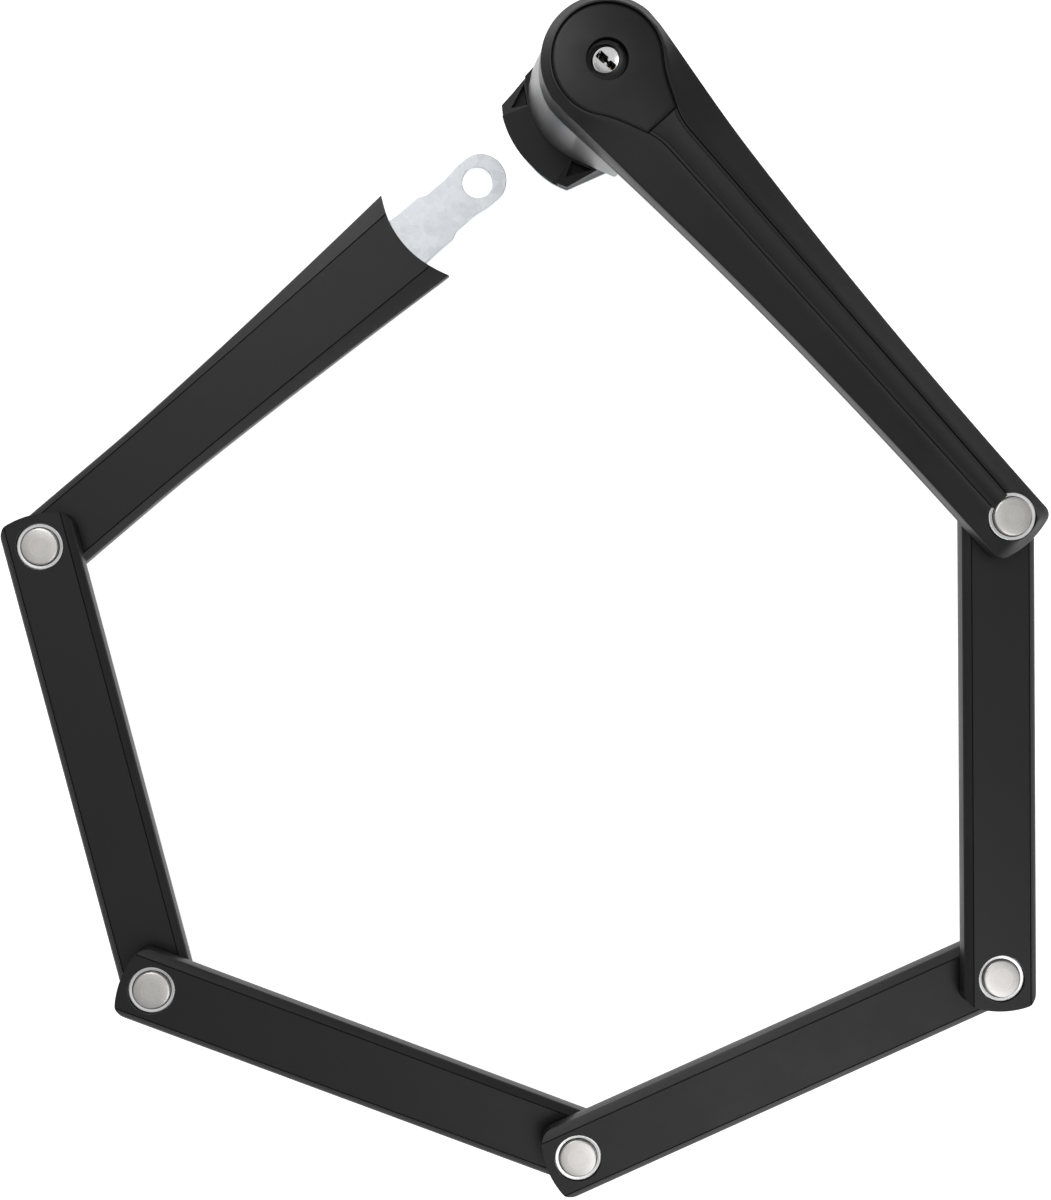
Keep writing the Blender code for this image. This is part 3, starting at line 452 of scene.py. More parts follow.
def finished(piece, body, finish=None, replaced=(), sharp=32, soften=0.0, segments=2):
    if finish:
        piece.data.materials.clear()
        piece.data.materials.append(finishes[finish])
    piece.data.shade_smooth()
    if soften:
        edge = piece.modifiers.new("soft edges", "BEVEL")
        edge.width = soften
        edge.segments = segments
        edge.limit_method = "ANGLE"
        edge.angle_limit = math.radians(sharp)
        edge.harden_normals = True
    piece.data.set_sharp_from_angle(angle=math.radians(sharp))
    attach(piece, body)
    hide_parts(*replaced)


latheSteps = 72
latheTrees = {}


def turned(name, profile, at=(0.0, 0.0), finish="rivetSteel"):
    # profile points are (radius, height), from the axis at the top round to the axis below
    points = [(r, 0.0, z) for r, z in profile]
    if len(points) not in latheTrees:
        latheTrees[len(points)] = latheTree(latheSteps, len(points))
    return grown(name, edgesOnly(name, points), latheTrees[len(points)],
                 {"Finish": finishes[finish]}, Matrix.Translation((at[0], at[1], 0.0)))


# link sleeves

sleeve = {"half": 0.0123, "rail": 0.0024, "railDrop": 0.0016, "groove": 0.00042,
          "grooveDepth": 0.00038, "endReach": 0.0109, "endRadius": 0.030, "corner": 0.0034,
          "hole": 0.00795, "barHalf": 0.0093, "barSpace": 0.0038, "mouthRadius": 0.0337,
          "mouthHalf": 0.0164, "flareStart": 0.055, "edge": 0.00022, "capRings": 4,
          "stations": 34, "topSteps": 14, "panelShare": 0.35, "lastBarExtra": 0.0005}
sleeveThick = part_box("link_sleeve_1")[1].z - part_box("link_sleeve_1")[0].z


def sleeveSection():
    # half widths and heights round the section, closed, from the middle of the top
    s = sleeve
    panel = s["half"] - s["rail"]
    top = sleeveThick
    flat = [(panel - s["groove"]) * i / (s["topSteps"] / 2) for i in range(int(s["topSteps"] / 2))]
    side = [(y, top) for y in flat]
    side += [(panel - s["groove"], top), (panel - s["groove"] * 0.55, top - s["grooveDepth"]),
             (panel - s["groove"] * 0.45, top - s["grooveDepth"]), (panel, top - 0.00006)]
    drop = s["railDrop"]
    for t in (0.35, 0.7, 0.9):
        side.append((panel + (s["half"] - panel) * t * 0.96, top - drop * t ** 1.04))
    side += [(s["half"] - 0.00022, top - drop - 0.00002),
             (s["half"] - 0.00004, top - drop - 0.00022), (s["half"], top - drop - 0.0006),
             (s["half"], top * 0.40),
             (s["half"] - 0.00006, 0.0014), (s["half"] - 0.0004, 0.0006),
             (s["half"] - 0.0011, 0.00008), (s["half"] - 0.0016, 0.0)]
    side += [(y, 0.0) for y in reversed(flat)]
    left = [(-y, z) for y, z in reversed(side[1:-1])]
    return [(0.0, y, z) for y, z in side + left]


def sleeveTree(count):
    # a body swept along x, with shaped ends, an optional flare, a bar space and rivet holes
    inputs = [(name, "NodeSocketFloat", value) for name, value in sleeveValues(1).items()]
    tree, graph, given = newTree("sleeve", inputs + [("Finish", "NodeSocketMaterial", None)])
    rings = sleeve["capRings"]
    columns = sleeve["stations"] + 2 * rings
    sheet, column, row = gridOn(graph, columns, count + 1)
    wrapped = row.math("MODULO", row, count)
    section = sampled(graph, given["Geometry"], wrapped)
    inward = (column.atMost(columns - 1 - column) / rings).within(0.0, 1.0)
    along = ((column - rings) / (columns - 1 - 2 * rings)).within(0.0, 1.0)
    y0 = section.other("Y") * inward
    middle = given["Thickness"] * 0.5
    z = middle + (section.other("Z") - middle) * inward
    nominal = along * given["Length"]
    flare = ((nominal - given["Flare Start"]) / (given["Flare End"] - given["Flare Start"]))
    widen = given["Flare"] * flare.atLeast(0.0) ** 1.4
    across = y0.math("ABSOLUTE", y0)
    onPanel = (across / given["Panel"]).atMost(1.0) * given["Panel Share"]
    onRail = ((across - given["Panel"]) / (given["Half"] - given["Panel"])).within(0.0, 1.0)
    share = onPanel + onRail * (1.0 - given["Panel Share"])
    y = y0 + y0.math("SIGN", y0) * widen * share
    size = y.math("ABSOLUTE", y)
    bow = y * y / (given["End Radius"] * 2.0)
    past = ((size - (given["Half"] - given["Corner"])) / given["Corner"]).within(0.0, 1.0)
    curl = 1.0 - past * past
    corner = given["Corner"] * (1.0 - curl.math("SQRT", curl))
    shape = given["End Reach"] - bow - corner
    left = shape * -1.0
    plain = given["Length"] + shape
    inner = given["Mouth Radius"] * given["Mouth Radius"] - y * y
    mouth = given["Length"] - inner.math("SQRT", inner)
    right = plain + (mouth - plain) * given["Mouth"]
    x = left + (right - left) * along
    body = movedTo(graph, sheet, x, y, z)
    closeTree(graph, cutFrom(graph, body, sleeveCutters(graph, given, middle)), given["Finish"])
    return tree


def sleeveCutters(graph, given, middle):
    # a drum for each rivet hole and a block for the bar's space
    def shifted(shape, x, z=0.0):
        at = graph.add("ShaderNodeCombineXYZ", None, {0: x, 2: z})
        return graph.add("GeometryNodeTransform", None, {"Geometry": shape, "Translation": at})

    cutters = []
    for spot in (0.0, given["Far Hole"]):
        drill = graph.add("GeometryNodeMeshCylinder", None,
                          {"Vertices": 72, "Radius": given["Hole Radius"], "Depth": 0.03})
        cutters.append(shifted(drill, spot))
    reach = given["Far Hole"]
    box = graph.add("ShaderNodeCombineXYZ", None,
                    {0: reach, 1: given["Bar Half"] * 2.0, 2: given["Bar Space"]})
    block = graph.add("GeometryNodeMeshCube", None, {"Size": box})
    return cutters + [shifted(block, reach * 0.5, middle)]


def sleeveValues(k):
    s = sleeve
    length = (linkEnds[k] - linkEnds[k - 1]).length
    last = k == 5
    return {"Length": length, "Flare": (s["mouthHalf"] - s["half"]) if last else 0.0,
            "Flare Start": s["flareStart"], "Flare End": length - s["mouthRadius"] + 0.003,
            "End Reach": s["endReach"], "End Radius": s["endRadius"], "Corner": s["corner"],
            "Half": s["half"], "Panel": s["half"] - s["rail"], "Panel Share": s["panelShare"],
            "Thickness": sleeveThick, "Mouth Radius": s["mouthRadius"],
            "Mouth": 1.0 if last else 0.0, "Hole Radius": s["hole"],
            "Bar Half": s["barHalf"] + (s["lastBarExtra"] if last else 0.0),
            "Bar Space": s["barSpace"], "Far Hole": length}


def linkMatrix(k):
    start, end = linkEnds[k - 1], linkEnds[k]
    way = end - start
    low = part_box(f"link_sleeve_{k}")[0].z
    turn = Matrix.Rotation(math.atan2(way.y, way.x), 4, "Z")
    return Matrix.Translation((start.x, start.y, low)) @ turn


def makeSleeves():
    section = sleeveSection()
    tree = sleeveTree(len(section))
    for k in range(1, 6):
        values = {**sleeveValues(k), "Finish": finishes["sleeveBlack"]}
        piece = grown(f"sleeve_{k}", edgesOnly("section", section), tree, values, linkMatrix(k))
        finished(piece, f"link_{k}", replaced=(f"link_sleeve_{k}",),
                 sharp=30, soften=sleeve["edge"])
    print("sleeves ready")


makeSleeves()

# rivets

rivet = {"disc": 0.00620, "ring": 0.00775, "chamfer": 0.00035, "shank": 0.0040, "step": 0.0042,
         "ringHole": 0.0043, "ringDrop": 0.00128}


def makeRivets():
    # the turned head stands just proud of a broad bright ring, with a dark gap between them
    r = rivet
    for k in range(1, 6):
        body = "lock_body" if k == 1 else f"link_{k - 1}"
        low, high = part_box(f"rivet_{k}")
        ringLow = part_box(f"rivet_ring_{k}")[0].z
        at = (rivetAt[k - 1].x, rivetAt[k - 1].y)
        top = high.z
        headProfile = [(0.0, top), (0.0005, top), (r["disc"] * 0.5, top - 0.00003),
                       (r["disc"] - r["chamfer"] * 1.6, top - 0.00005),
                       (r["disc"] - r["chamfer"] * 0.6, top - 0.00014),
                       (r["disc"], top - 0.00035), (r["disc"], top - 0.00095),
                       (r["disc"] - 0.0003, top - 0.00105), (r["step"], top - 0.0011),
                       (r["shank"], top - 0.0013), (r["shank"], low.z + 0.0002),
                       (r["shank"] - 0.0004, low.z), (0.0, low.z)]
        head = turned(f"rivetHead_{k}", headProfile, at, "rivetSteel")
        finished(head, body, replaced=(f"rivet_{k}",), sharp=40)
        rim = top - r["ringDrop"]
        hole = r["ringHole"]
        ringProfile = [(hole, ringLow), (hole, rim), (0.0061, rim), (r["ring"] - 0.0006, rim),
                       (r["ring"] - 0.0002, rim + 0.0001), (r["ring"] - 0.00005, rim + 0.00005),
                       (r["ring"], rim - 0.0001), (r["ring"], ringLow + 0.0001),
                       (r["ring"] - 0.0001, ringLow), (hole, ringLow)]
        washer = turned(f"rivetRing_{k}", ringProfile, at, "ringZinc")
        finished(washer, body, replaced=(f"rivet_ring_{k}",), sharp=40)
    print("rivets ready")


makeRivets()


# solids made by outline, and the tongue

def barMesh(name, outline, low, high):
    work = bmesh.new()
    floor = [work.verts.new((x, y, low)) for x, y in outline]
    roof = [work.verts.new((x, y, high)) for x, y in outline]
    band(work, [floor, roof])
    work.faces.new(floor)
    work.faces.new(roof)
    return closedPiece(name, work)


def drum(radius, low, high, at=(0.0, 0.0), steps=96):
    ringPoints = [(at[0] + radius * math.cos(2 * math.pi * i / steps),
                   at[1] + radius * math.sin(2 * math.pi * i / steps)) for i in range(steps)]
    return barMesh("cutter", ringPoints, low, high)


def through(radius, low, high, at=(0.0, 0.0), steps=96):
    # a cutter that stands proud of both faces
    return drum(radius, low.z - 0.001, high.z + 0.001, at, steps)


def carve(piece, tools, operation="DIFFERENCE"):
    # one boolean after another, kept as a plain mesh
    for tool in tools:
        step = piece.modifiers.new("carve", "BOOLEAN")
        step.object = tool
        step.operation = operation
        step.solver = "EXACT"
        bpy.context.view_layer.update()
        ready = piece.evaluated_get(bpy.context.evaluated_depsgraph_get())
        kept = bpy.data.meshes.new_from_object(ready)
        piece.modifiers.clear()
        piece.data = kept
        bpy.data.objects.remove(tool)


def fillet(points, radii, steps=10):
    # rounds the corners of an outline, each by its own radius
    done = []
    for i, point in enumerate(points):
        radius = radii[i]
        here = Vector(point)
        if not radius:
            done.append(tuple(here))
            continue
        before = (Vector(points[i - 1]) - here).normalized()
        after = (Vector(points[(i + 1) % len(points)]) - here).normalized()
        half = math.acos(max(-1.0, min(1.0, before.dot(after)))) / 2
        middle = here + (before + after).normalized() * (radius / math.sin(half))
        first = here + before * (radius / math.tan(half)) - middle
        last = here + after * (radius / math.tan(half)) - middle
        start = math.atan2(first.y, first.x)
        sweep = (math.atan2(last.y, last.x) - start + math.pi) % (2 * math.pi) - math.pi
        done += [tuple(middle + Vector((math.cos(start + sweep * t / steps),
                                        math.sin(start + sweep * t / steps))) * radius)
                 for t in range(steps + 1)]
    return done


tongue = {"tip": 0.0090, "neck": 0.0082, "base": 0.0095, "hole": 0.0052, "reach": 0.0105,
          "neckStart": 0.0178, "tipRadius": 0.0089, "pivot": 0.0043, "edge": 0.00028}


def makeTongue():
    t = tongue
    low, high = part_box("link_bar_5")
    length = (holeAt - rivetAt[4]).length
    tip = t["reach"]
    right = [(-length, t["base"]), (-t["neckStart"] - 0.0016, t["base"]),
             (-t["neckStart"] + 0.0012, t["neck"]), (-0.0078, t["neck"]), (-0.0020, t["tip"]),
             (tip, t["tip"])]
    rounding = [0.0, 0.0020, 0.0020, 0.0060, 0.0060, t["tipRadius"]]
    front = fillet(right + [(tip, 0.0)], rounding + [0.0])[1:-1]
    back = [(-length + t["base"] * math.cos(a), t["base"] * math.sin(a))
            for a in [math.radians(90 + 180 * i / 30) for i in range(31)]]
    outline = front + [(tip, 0.0)] + [(x, -y) for x, y in reversed(front)]
    outline += list(reversed(back))
    bar = barMesh("tongueBar", outline, low.z, high.z)
    carve(bar, [through(t["hole"], low, high),
                through(t["pivot"], low, high, (-length, 0.0))])
    way = holeAt - rivetAt[4]
    bar.data.transform(Matrix.Translation((holeAt.x, holeAt.y, 0.0))
                       @ Matrix.Rotation(math.atan2(way.y, way.x), 4, "Z"))
    finished(bar, "link_5", "zincPlate", ("link_bar_5",), soften=t["edge"],
             segments=3)
    print("tongue ready")


makeTongue()


# lock body

shell = {"head": 0.0210, "end": 0.0115, "taper": 2.1, "topFall": 0.0022, "headDrop": 0.0025,
         "drop": 0.0056, "dropEnd": 0.0042, "endReach": 0.0109, "endRadius": 0.030,
         "corner": 0.0024, "wall": 0.0020, "skin": 0.0024, "flankSkin": 0.0016,
         "plate": 0.0176, "plateEnd": 0.0256, "plateEndHalf": 0.0062, "lip": 0.0016,
         "plateThick": 0.0013, "strip": 0.0046, "stripEnd": 0.0032, "narrows": 0.008,
         "stripThick": 0.0010, "gap": 0.00026, "eye": 0.00795, "shoulderRun": 0.05, "lean": 52,
         "rim": 0.0006, "shellHole": 0.0151}


def halfWidth(x):
    b = shell
    near = 1 - limited(x / bodyLength)
    return b["end"] + (b["head"] - b["end"]) * near ** b["taper"]


def stripHalf(x):
    b = shell
    along = max(0.0, (x - b["plateEnd"]) / (bodyLength - b["plateEnd"]))
    near = max(0.0, 1 - (x - b["plateEnd"]) / b["narrows"])
    taper = b["strip"] + (b["stripEnd"] - b["strip"]) * along
    return taper + (b["plateEndHalf"] - b["strip"]) * near ** 2


def topHeight(x):
    b = shell
    return bodyTop - b["topFall"] * max(0.0, (x - b["plateEnd"]) / (bodyLength - b["plateEnd"]))


def flankDrop(x):
    b = shell
    near = limited(x / b["shoulderRun"])
    blend = near * near * (3 - 2 * near)
    along = limited(x / bodyLength)
    return b["headDrop"] + (b["drop"] + (b["dropEnd"] - b["drop"]) * along
                            - b["headDrop"]) * blend


def plateHalf(x, radius):
    # a disc that runs out by an ogee to its cut-off end
    b = shell
    lean = math.radians(b["lean"])
    shoulder = radius * math.cos(lean)
    if x <= shoulder:
        return math.sqrt(max(0.0, radius ** 2 - x * x))
    run = b["plateEnd"] - shoulder
    t = (x - shoulder) / run
    slope = -math.cos(lean) / math.sin(lean) * run
    return ((2 * t ** 3 - 3 * t ** 2 + 1) * radius * math.sin(lean)
            + (t ** 3 - 2 * t ** 2 + t) * slope + (3 * t ** 2 - 2 * t ** 3) * b["plateEndHalf"]
            + (t ** 3 - t ** 2) * -0.007)


def plateOutline(inset=0.0, fine=3):
    b = shell
    lean = math.radians(b["lean"])
    angles = [math.radians(90) - (math.radians(90) - lean) * i / (5 * fine)
              for i in range(5 * fine + 1)]
    spots = [b["plate"] * math.cos(a) for a in angles]
    shoulder = spots[-1]
    spots += [shoulder + (b["plateEnd"] - shoulder) * i / (8 * fine)
              for i in range(1, 8 * fine + 1)]
    upper = [(x, plateHalf(x, b["plate"])) for x in spots]
    full = [(b["plate"] * math.cos(a), b["plate"] * math.sin(a))
            for a in [math.radians(270 - 180 * i / 60) for i in range(1, 60)]]
    points = upper + [(x, -y) for x, y in reversed(upper)] + full
    return inward(points, inset) if inset else points


def inward(points, inset):
    # every point of a clockwise outline moves along its own mitred normal
    moved = []
    for i, point in enumerate(points):
        here = Vector(point)
        first = (here - Vector(points[i - 1])).normalized()
        second = (Vector(points[(i + 1) % len(points)]) - here).normalized()
        normal = Vector((first.y + second.y, -first.x - second.x)).normalized()
        stretch = 1 / max(0.5, normal.dot(Vector((first.y, -first.x))))
        moved.append((here.x + normal.x * inset * stretch, here.y + normal.y * inset * stretch))
    return moved


def bodyRows(inset=0.0):
    # matching points round the body: wall top and the edge of the level middle
    b = shell
    rows = []
    stretch = bodyLength - 0.003
    for i in range(55):
        x = 0.003 + stretch * i / 54
        inner = (plateHalf(x, b["plate"] + b["rim"]) + 0.0004 if x < b["plateEnd"] - 0.001
                 else stripHalf(max(x, b["plateEnd"])) + 0.0003)
        rows.append((x, halfWidth(x) - inset, x, inner))
    half = b["end"] - inset
    reach = b["endReach"] - inset
    corner = b["corner"]
    tip = []
    for i in range(17):
        turn = math.radians(90 * i / 16)
        y = half - corner + corner * math.cos(turn)
        bow = reach - y * y / (2 * b["endRadius"])
        tip.append((bodyLength + bow - corner + corner * math.sin(turn), y))
    for i in range(1, 8):
        y = (half - corner) * (1 - i / 8)
        tip.append((bodyLength + reach - y * y / (2 * b["endRadius"]), y))
    for x, y in tip:
        near = min(1.0, (x - bodyLength) / reach)
        rows.append((x, y, bodyLength + (x - bodyLength) * (1 - 0.38 * near),
                     min(y * 0.78, b["stripEnd"] + (y - b["stripEnd"]) * 0.25)
                     if y > b["stripEnd"] else y * 0.9))
    lower = [(x, -y, u, -v) for x, y, u, v in reversed(rows)]
    point = [(bodyLength + reach, 0.0, bodyLength + reach * 0.62, 0.0)]
    rim = b["plate"] + b["rim"]
    head = [((b["head"] - inset) * math.cos(a), (b["head"] - inset) * math.sin(a),
             rim * math.cos(a), rim * math.sin(a))
            for a in [math.radians(262 - 164 * i / 60) for i in range(61)]]
    return rows + point + lower + head


def bodyShape(name, low, rings, inset=0.0, sink=0.0, flankSink=0.0):
    # foot, wall, then a flank that eases from the wall to the level middle
    rows = bodyRows(inset)
    loops = [[(x, y, low) for x, y, u, v in rows],
             [(x, y, low + 0.0020) for x, y, u, v in rows]]
    for out, up in rings:
        loop = []
        for x, y, u, v in rows:
            wallTop = topHeight(x) - flankDrop(x) - flankSink
            middle = topHeight(u) - sink
            loop.append((x + (u - x) * out, y + (v - y) * out,
                         wallTop + (middle - wallTop) * up))
        loops.append(loop)
    work = bmesh.new()
    made = [[work.verts.new(point) for point in loop] for loop in loops]
    band(work, made)
    work.faces.new(made[0])
    lid(work, made[-1])
    return closedPiece(name, work)


def stripOutline(start, end, grow=0.0, count=40):
    spots = [start + (end - start) * (i / count) ** 1.6 for i in range(count + 1)]
    upper = [(x, stripHalf(max(x, shell["plateEnd"])) + grow) for x in spots]
    return upper + [(x, -y) for x, y in reversed(upper)]


def slopeTop(piece, above):
    # the upper part of a piece follows the falling top of the body
    for vertex in piece.data.vertices:
        if vertex.co.z > above:
            vertex.co.z += topHeight(vertex.co.x) - bodyTop
    return piece


def makeCover():
    b = shell
    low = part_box("body_cover")[0].z
    rounded = [(0.0, -0.07), (0.006, -0.02), (0.022, 0.015), (0.06, 0.055), (0.20, 0.20),
               (0.45, 0.45), (0.72, 0.73), (0.90, 0.93), (1.0, 1.0)]
    cover = bodyShape("coverShell", low, rounded)
    hollow = bodyShape("hollow", low - 0.001, [(0.0, 0.0), (1.0, 1.0)], b["wall"], b["skin"],
                       b["flankSkin"])
    seat = barMesh("seat", plateOutline(-b["gap"]), bodyTop - b["plateThick"] - 0.00015,
                   bodyTop + 0.001)
    window = barMesh("window", plateOutline(b["lip"], 1), bodyTop - 0.006, bodyTop + 0.001)
    run = stripOutline(b["plateEnd"] - 0.001, bodyLength - b["eye"] + 0.001, b["gap"] - 0.0001)
    groove = slopeTop(barMesh("groove", run, bodyTop - b["stripThick"] - 0.00015,
                              bodyTop + 0.001), 0.0)
    eye = drum(b["eye"], low - 0.002, bodyTop + 0.001, (bodyLength, 0.0))
    carve(cover, [hollow, seat, window, groove, eye])
    finished(cover, "lock_body", "coverBlack", ("body_cover",), sharp=34,
             soften=0.00016)
    print("cover ready", len(cover.data.polygons))


def rimmedPlate(name, outlines, levels):
    # stacked outlines joined into one closed piece: rims, lips and hollowed middles
    work = bmesh.new()
    loops = [[work.verts.new((x, y, z)) for x, y in line]
             for line, z in zip(outlines, levels)]
    band(work, loops)
    lid(work, loops[0])
    lid(work, loops[-1])
    return closedPiece(name, work)


face = {"keyhole": 0.0068, "rimWide": 0.0011, "rimDrop": 0.0006}


def makeFacePlate():
    # a sloping rim all round the level middle, and a soft-edged round well for the plug
    f = face
    low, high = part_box("face_plate")
    lines = [plateOutline(), plateOutline(), plateOutline(0.00008),
             plateOutline(f["rimWide"] * 0.75), plateOutline(f["rimWide"])]
    levels = [low.z, high.z - f["rimDrop"] - 0.0001, high.z - f["rimDrop"],
              high.z - 0.00010, high.z]
    piece = rimmedPlate("facePlate", lines, levels)
    carve(piece, [through(f["keyhole"], low, high)])
    finished(piece, "lock_body", "coverBlack", ("face_plate",), sharp=34,
             soften=0.00014)


inlay = {"lineAt": 0.0012, "lineWide": 0.00022, "lineDeep": 0.00022, "dish": 0.00030}


def makeStrip():
    # the long inlay, with a fine line inside its edge and a shallow dish along the middle
    b, n = shell, inlay
    low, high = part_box("centre_strip")
    start, end = low.x, high.x
    outer = stripOutline(start, end, -0.0001)
    count = len(outer) // 2
    rows = []
    for i in range(count):
        x = outer[i][0]
        half = outer[i][1]
        edge = min(n["lineAt"], half * 0.4)
        inner = half - edge
        top = topHeight(x)
        deep = n["lineDeep"] * max(0.12, 1.0 - 1.5 * max(0.0, x - start) / (end - start))
        rows.append([(half, top - b["stripThick"]), (half, top - 0.00022),
                     (half - 0.0002, top - 0.00004), (inner + n["lineWide"], top),
                     (inner + n["lineWide"] * 0.6, top - deep),
                     (inner + n["lineWide"] * 0.3, top - deep), (inner, top),
                     (inner * 0.5, top - n["dish"] * 0.75), (0.0, top - n["dish"])])
    work = bmesh.new()
    loops = []
    for i, row in enumerate(rows):
        x = outer[i][0]
        full = row + [(-y, z) for y, z in reversed(row[:-1])]
        loops.append([work.verts.new((x, y, z)) for y, z in full])
    band(work, loops)
    work.faces.new(loops[0])
    work.faces.new(loops[-1])
    piece = closedPiece("centreStrip", work)
    finished(piece, "lock_body", "coverBlack", ("centre_strip",), sharp=20)


def makeTray():
    b = shell
    low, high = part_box("body_tray")
    tray = barMesh("trayShell", [row[:2] for row in bodyRows()], low.z, high.z)
    carve(tray, [through(b["shellHole"], low, high),
                 through(b["eye"], low, high, (bodyLength, 0.0))])
    finished(tray, "lock_body", "coverBlack", ("body_tray",), soften=0.0003)


# head: casting, guide, plug

casting = {"foot": 0.02338, "flank": 65.5, "footTip": ((0.0247, 0.0146), (0.0240, 0.0117)),
           "headTip": ((0.0266, 0.0176), (0.0272, 0.0145)),
           "farFoot": ((0.0210, 0.0115), (0.0206, 0.0090)),
           "farHead": ((0.0225, 0.0130), (0.0222, 0.0105)), "inset": 0.0003, "edge": 0.0005,
           "tipRound": 0.0012, "boss": 0.0148, "bore": 0.00815, "boreLow": 0.02235,
           "boltWay": 0.0035, "boltWayTop": 0.0230}
guide = {"outer": 0.0332, "footOuter": 0.0282, "hub": 0.0220, "footHub": 0.0207, "aim": -93.5,
         "spread": 32.5, "shoulder": 0.0088, "slotTop": 0.0069, "slotHalf": 0.0101,
         "edge": 0.00035, "facet": 0.0024, "pocket": 0.0035, "slotHub": 0.0111,
         "boltWay": 0.0048, "springWell": 0.0065, "springFoot": 0.0089}


def arcPoints(radius, start, end, steps):
    return [(radius * math.cos(math.radians(start + (end - start) * i / steps)),
             radius * math.sin(math.radians(start + (end - start) * i / steps)))
            for i in range(steps + 1)]


def castingOutline(radius, tip, farTip):
    corners = [(x, -y) for x, y in tip] + list(reversed(farTip))
    first = (radius * math.cos(math.radians(casting["flank"])),
             radius * math.sin(math.radians(casting["flank"])))
    points = [(first[0], -first[1])] + corners + [first]
    radii = [0.0] + [casting["tipRound"]] * 4 + [0.0]
    return fillet(points, radii, 6)[1:-1] + arcPoints(radius, casting["flank"],
                                                     360 - casting["flank"], 96)


def makeCasting():
    # a blasted block that eases out to its foot with a full hollow curve
    c = casting
    low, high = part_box("lock_housing")
    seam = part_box("body_tray")[0].z - 0.00015
    foot = castingOutline(c["foot"], c["footTip"], c["farFoot"])
    head = castingOutline(shell["head"] - c["inset"], c["headTip"], c["farHead"])
    outlines, levels = [], []
    steps = 12
    for i in range(steps + 1):
        t = i / steps
        ease = t - 0.10 * math.sin(math.pi * t) * (1 - t)
        outlines.append(blended(foot, head, ease))
        levels.append(low.z + (seam - low.z) * t)
    block = rimmedPlate("castingBlock", outlines, levels)
    carve(block, [drum(c["boss"], low.z + 0.002, high.z)], "UNION")
    carve(block, [drum(c["bore"], c["boreLow"], high.z + 0.001),
                  drum(c["boltWay"], low.z - 0.001, c["boltWayTop"])])
    finished(block, "lock_body", "satinCasting", ("lock_housing",), sharp=38,
             soften=c["edge"] * 0.5, segments=3)


def guideOutline(outer, hub, grow=0.0):
    g = guide
    touch = math.degrees(math.acos(hub / outer))
    return (arcPoints(outer + grow, g["aim"] - g["spread"], g["aim"] + g["spread"], 54)
            + arcPoints(hub + grow, g["aim"] + g["spread"] + touch,
                        360 + g["aim"] - g["spread"] - touch, 84))


def facetCutter(side, z):
    # planes off the corner of the guide: a long sloping facet down to its outer arc
    g = guide
    a = math.radians(g["aim"] + side * g["spread"])
    spot = Vector((math.cos(a), math.sin(a)))
    across = Vector((-spot.y, spot.x)) * side
    corner = spot * g["outer"]
    near = spot * (casting["foot"] + 0.0004)
    points = [near - across * 0.0016, corner - across * 0.0042, corner + across * 0.010,
              near + across * 0.020]
    work = bmesh.new()
    depths = [0.0, g["facet"] * 0.3, g["facet"] * 1.5, g["facet"] * 1.2]
    low = [work.verts.new((p.x, p.y, z - d)) for p, d in zip(points, depths)]
    high = [work.verts.new((p.x, p.y, z + 0.003)) for p in points]
    work.faces.new((low[0], low[1], low[2]))
    work.faces.new((low[0], low[2], low[3]))
    work.faces.new(high)
    band(work, [low, high])
    return closedPiece("facet", work)


def pocketCutter(side, z):
    g = guide
    a = math.radians(g["aim"] + side * (g["spread"] - 3.0))
    spot = Vector((math.cos(a), math.sin(a)))
    across = Vector((-spot.y, spot.x)) * side
    near = spot * (casting["foot"] + 0.0006)
    points = [near, spot * (g["outer"] - 0.0035), near + across * 0.0075]
    if side > 0:
        points.reverse()
    return barMesh("pocket", [tuple(p) for p in points], z - g["pocket"], z + 0.001)


screw = {"head": 0.0030, "shank": 0.0014, "seat": 0.00095, "socket": 0.0012,
         "socketDeep": 0.0006, "thread": 0.0005, "chamfer": 0.00025, "way": 0.00155,
         "sink": 0.00315, "sinkTop": 0.0011}


def screwSpot(k):
    # where a base screw stands, and the heights of its head face and its tip
    low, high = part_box(f"base_screw_{k}")
    return ((low.x + high.x) / 2, (low.y + high.y) / 2), low.z, high.z


def makeGuide():
    g = guide
    low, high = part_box("tongue_guide")
    foot = guideOutline(g["footOuter"], g["footHub"])
    top = guideOutline(g["outer"], g["hub"])
    outlines, levels = [foot, foot], [low.z, g["shoulder"]]
    for t in (0.25, 0.5, 0.75, 0.93, 1.0):
        outlines.append(blended(foot, top, t))
        levels.append(g["shoulder"] + (high.z - g["shoulder"]) * t)
    block = rimmedPlate("guideBlock", outlines, levels)
    half, far, hub = g["slotHalf"], g["outer"] + 0.004, g["slotHub"]
    cross = [(-half, -far), (half, -far), (half, -half), (far, -half), (far, half),
             (hub - 0.004, hub), (-hub + 0.004, hub), (-hub, hub - 0.004)]
    tools = [barMesh("slot", cross, low.z - 0.001, g["slotTop"]),
             drum(g["boltWay"], g["slotTop"] - 0.001, high.z + 0.001),
             drum(g["springWell"], g["springFoot"], high.z + 0.001)]
    tools += [pocketCutter(side, high.z) for side in (-1, 1)]
    tools += [facetCutter(side, high.z) for side in (-1, 1)]
    for k in range(1, 5):
        spot, _, end = screwSpot(k)
        tools.append(drum(screw["way"], low.z - 0.001, end + 0.001, spot, 24))
    carve(block, tools)
    finished(block, "lock_body", "guideBlack", ("tongue_guide",), sharp=24,
             soften=g["edge"] * 0.5)


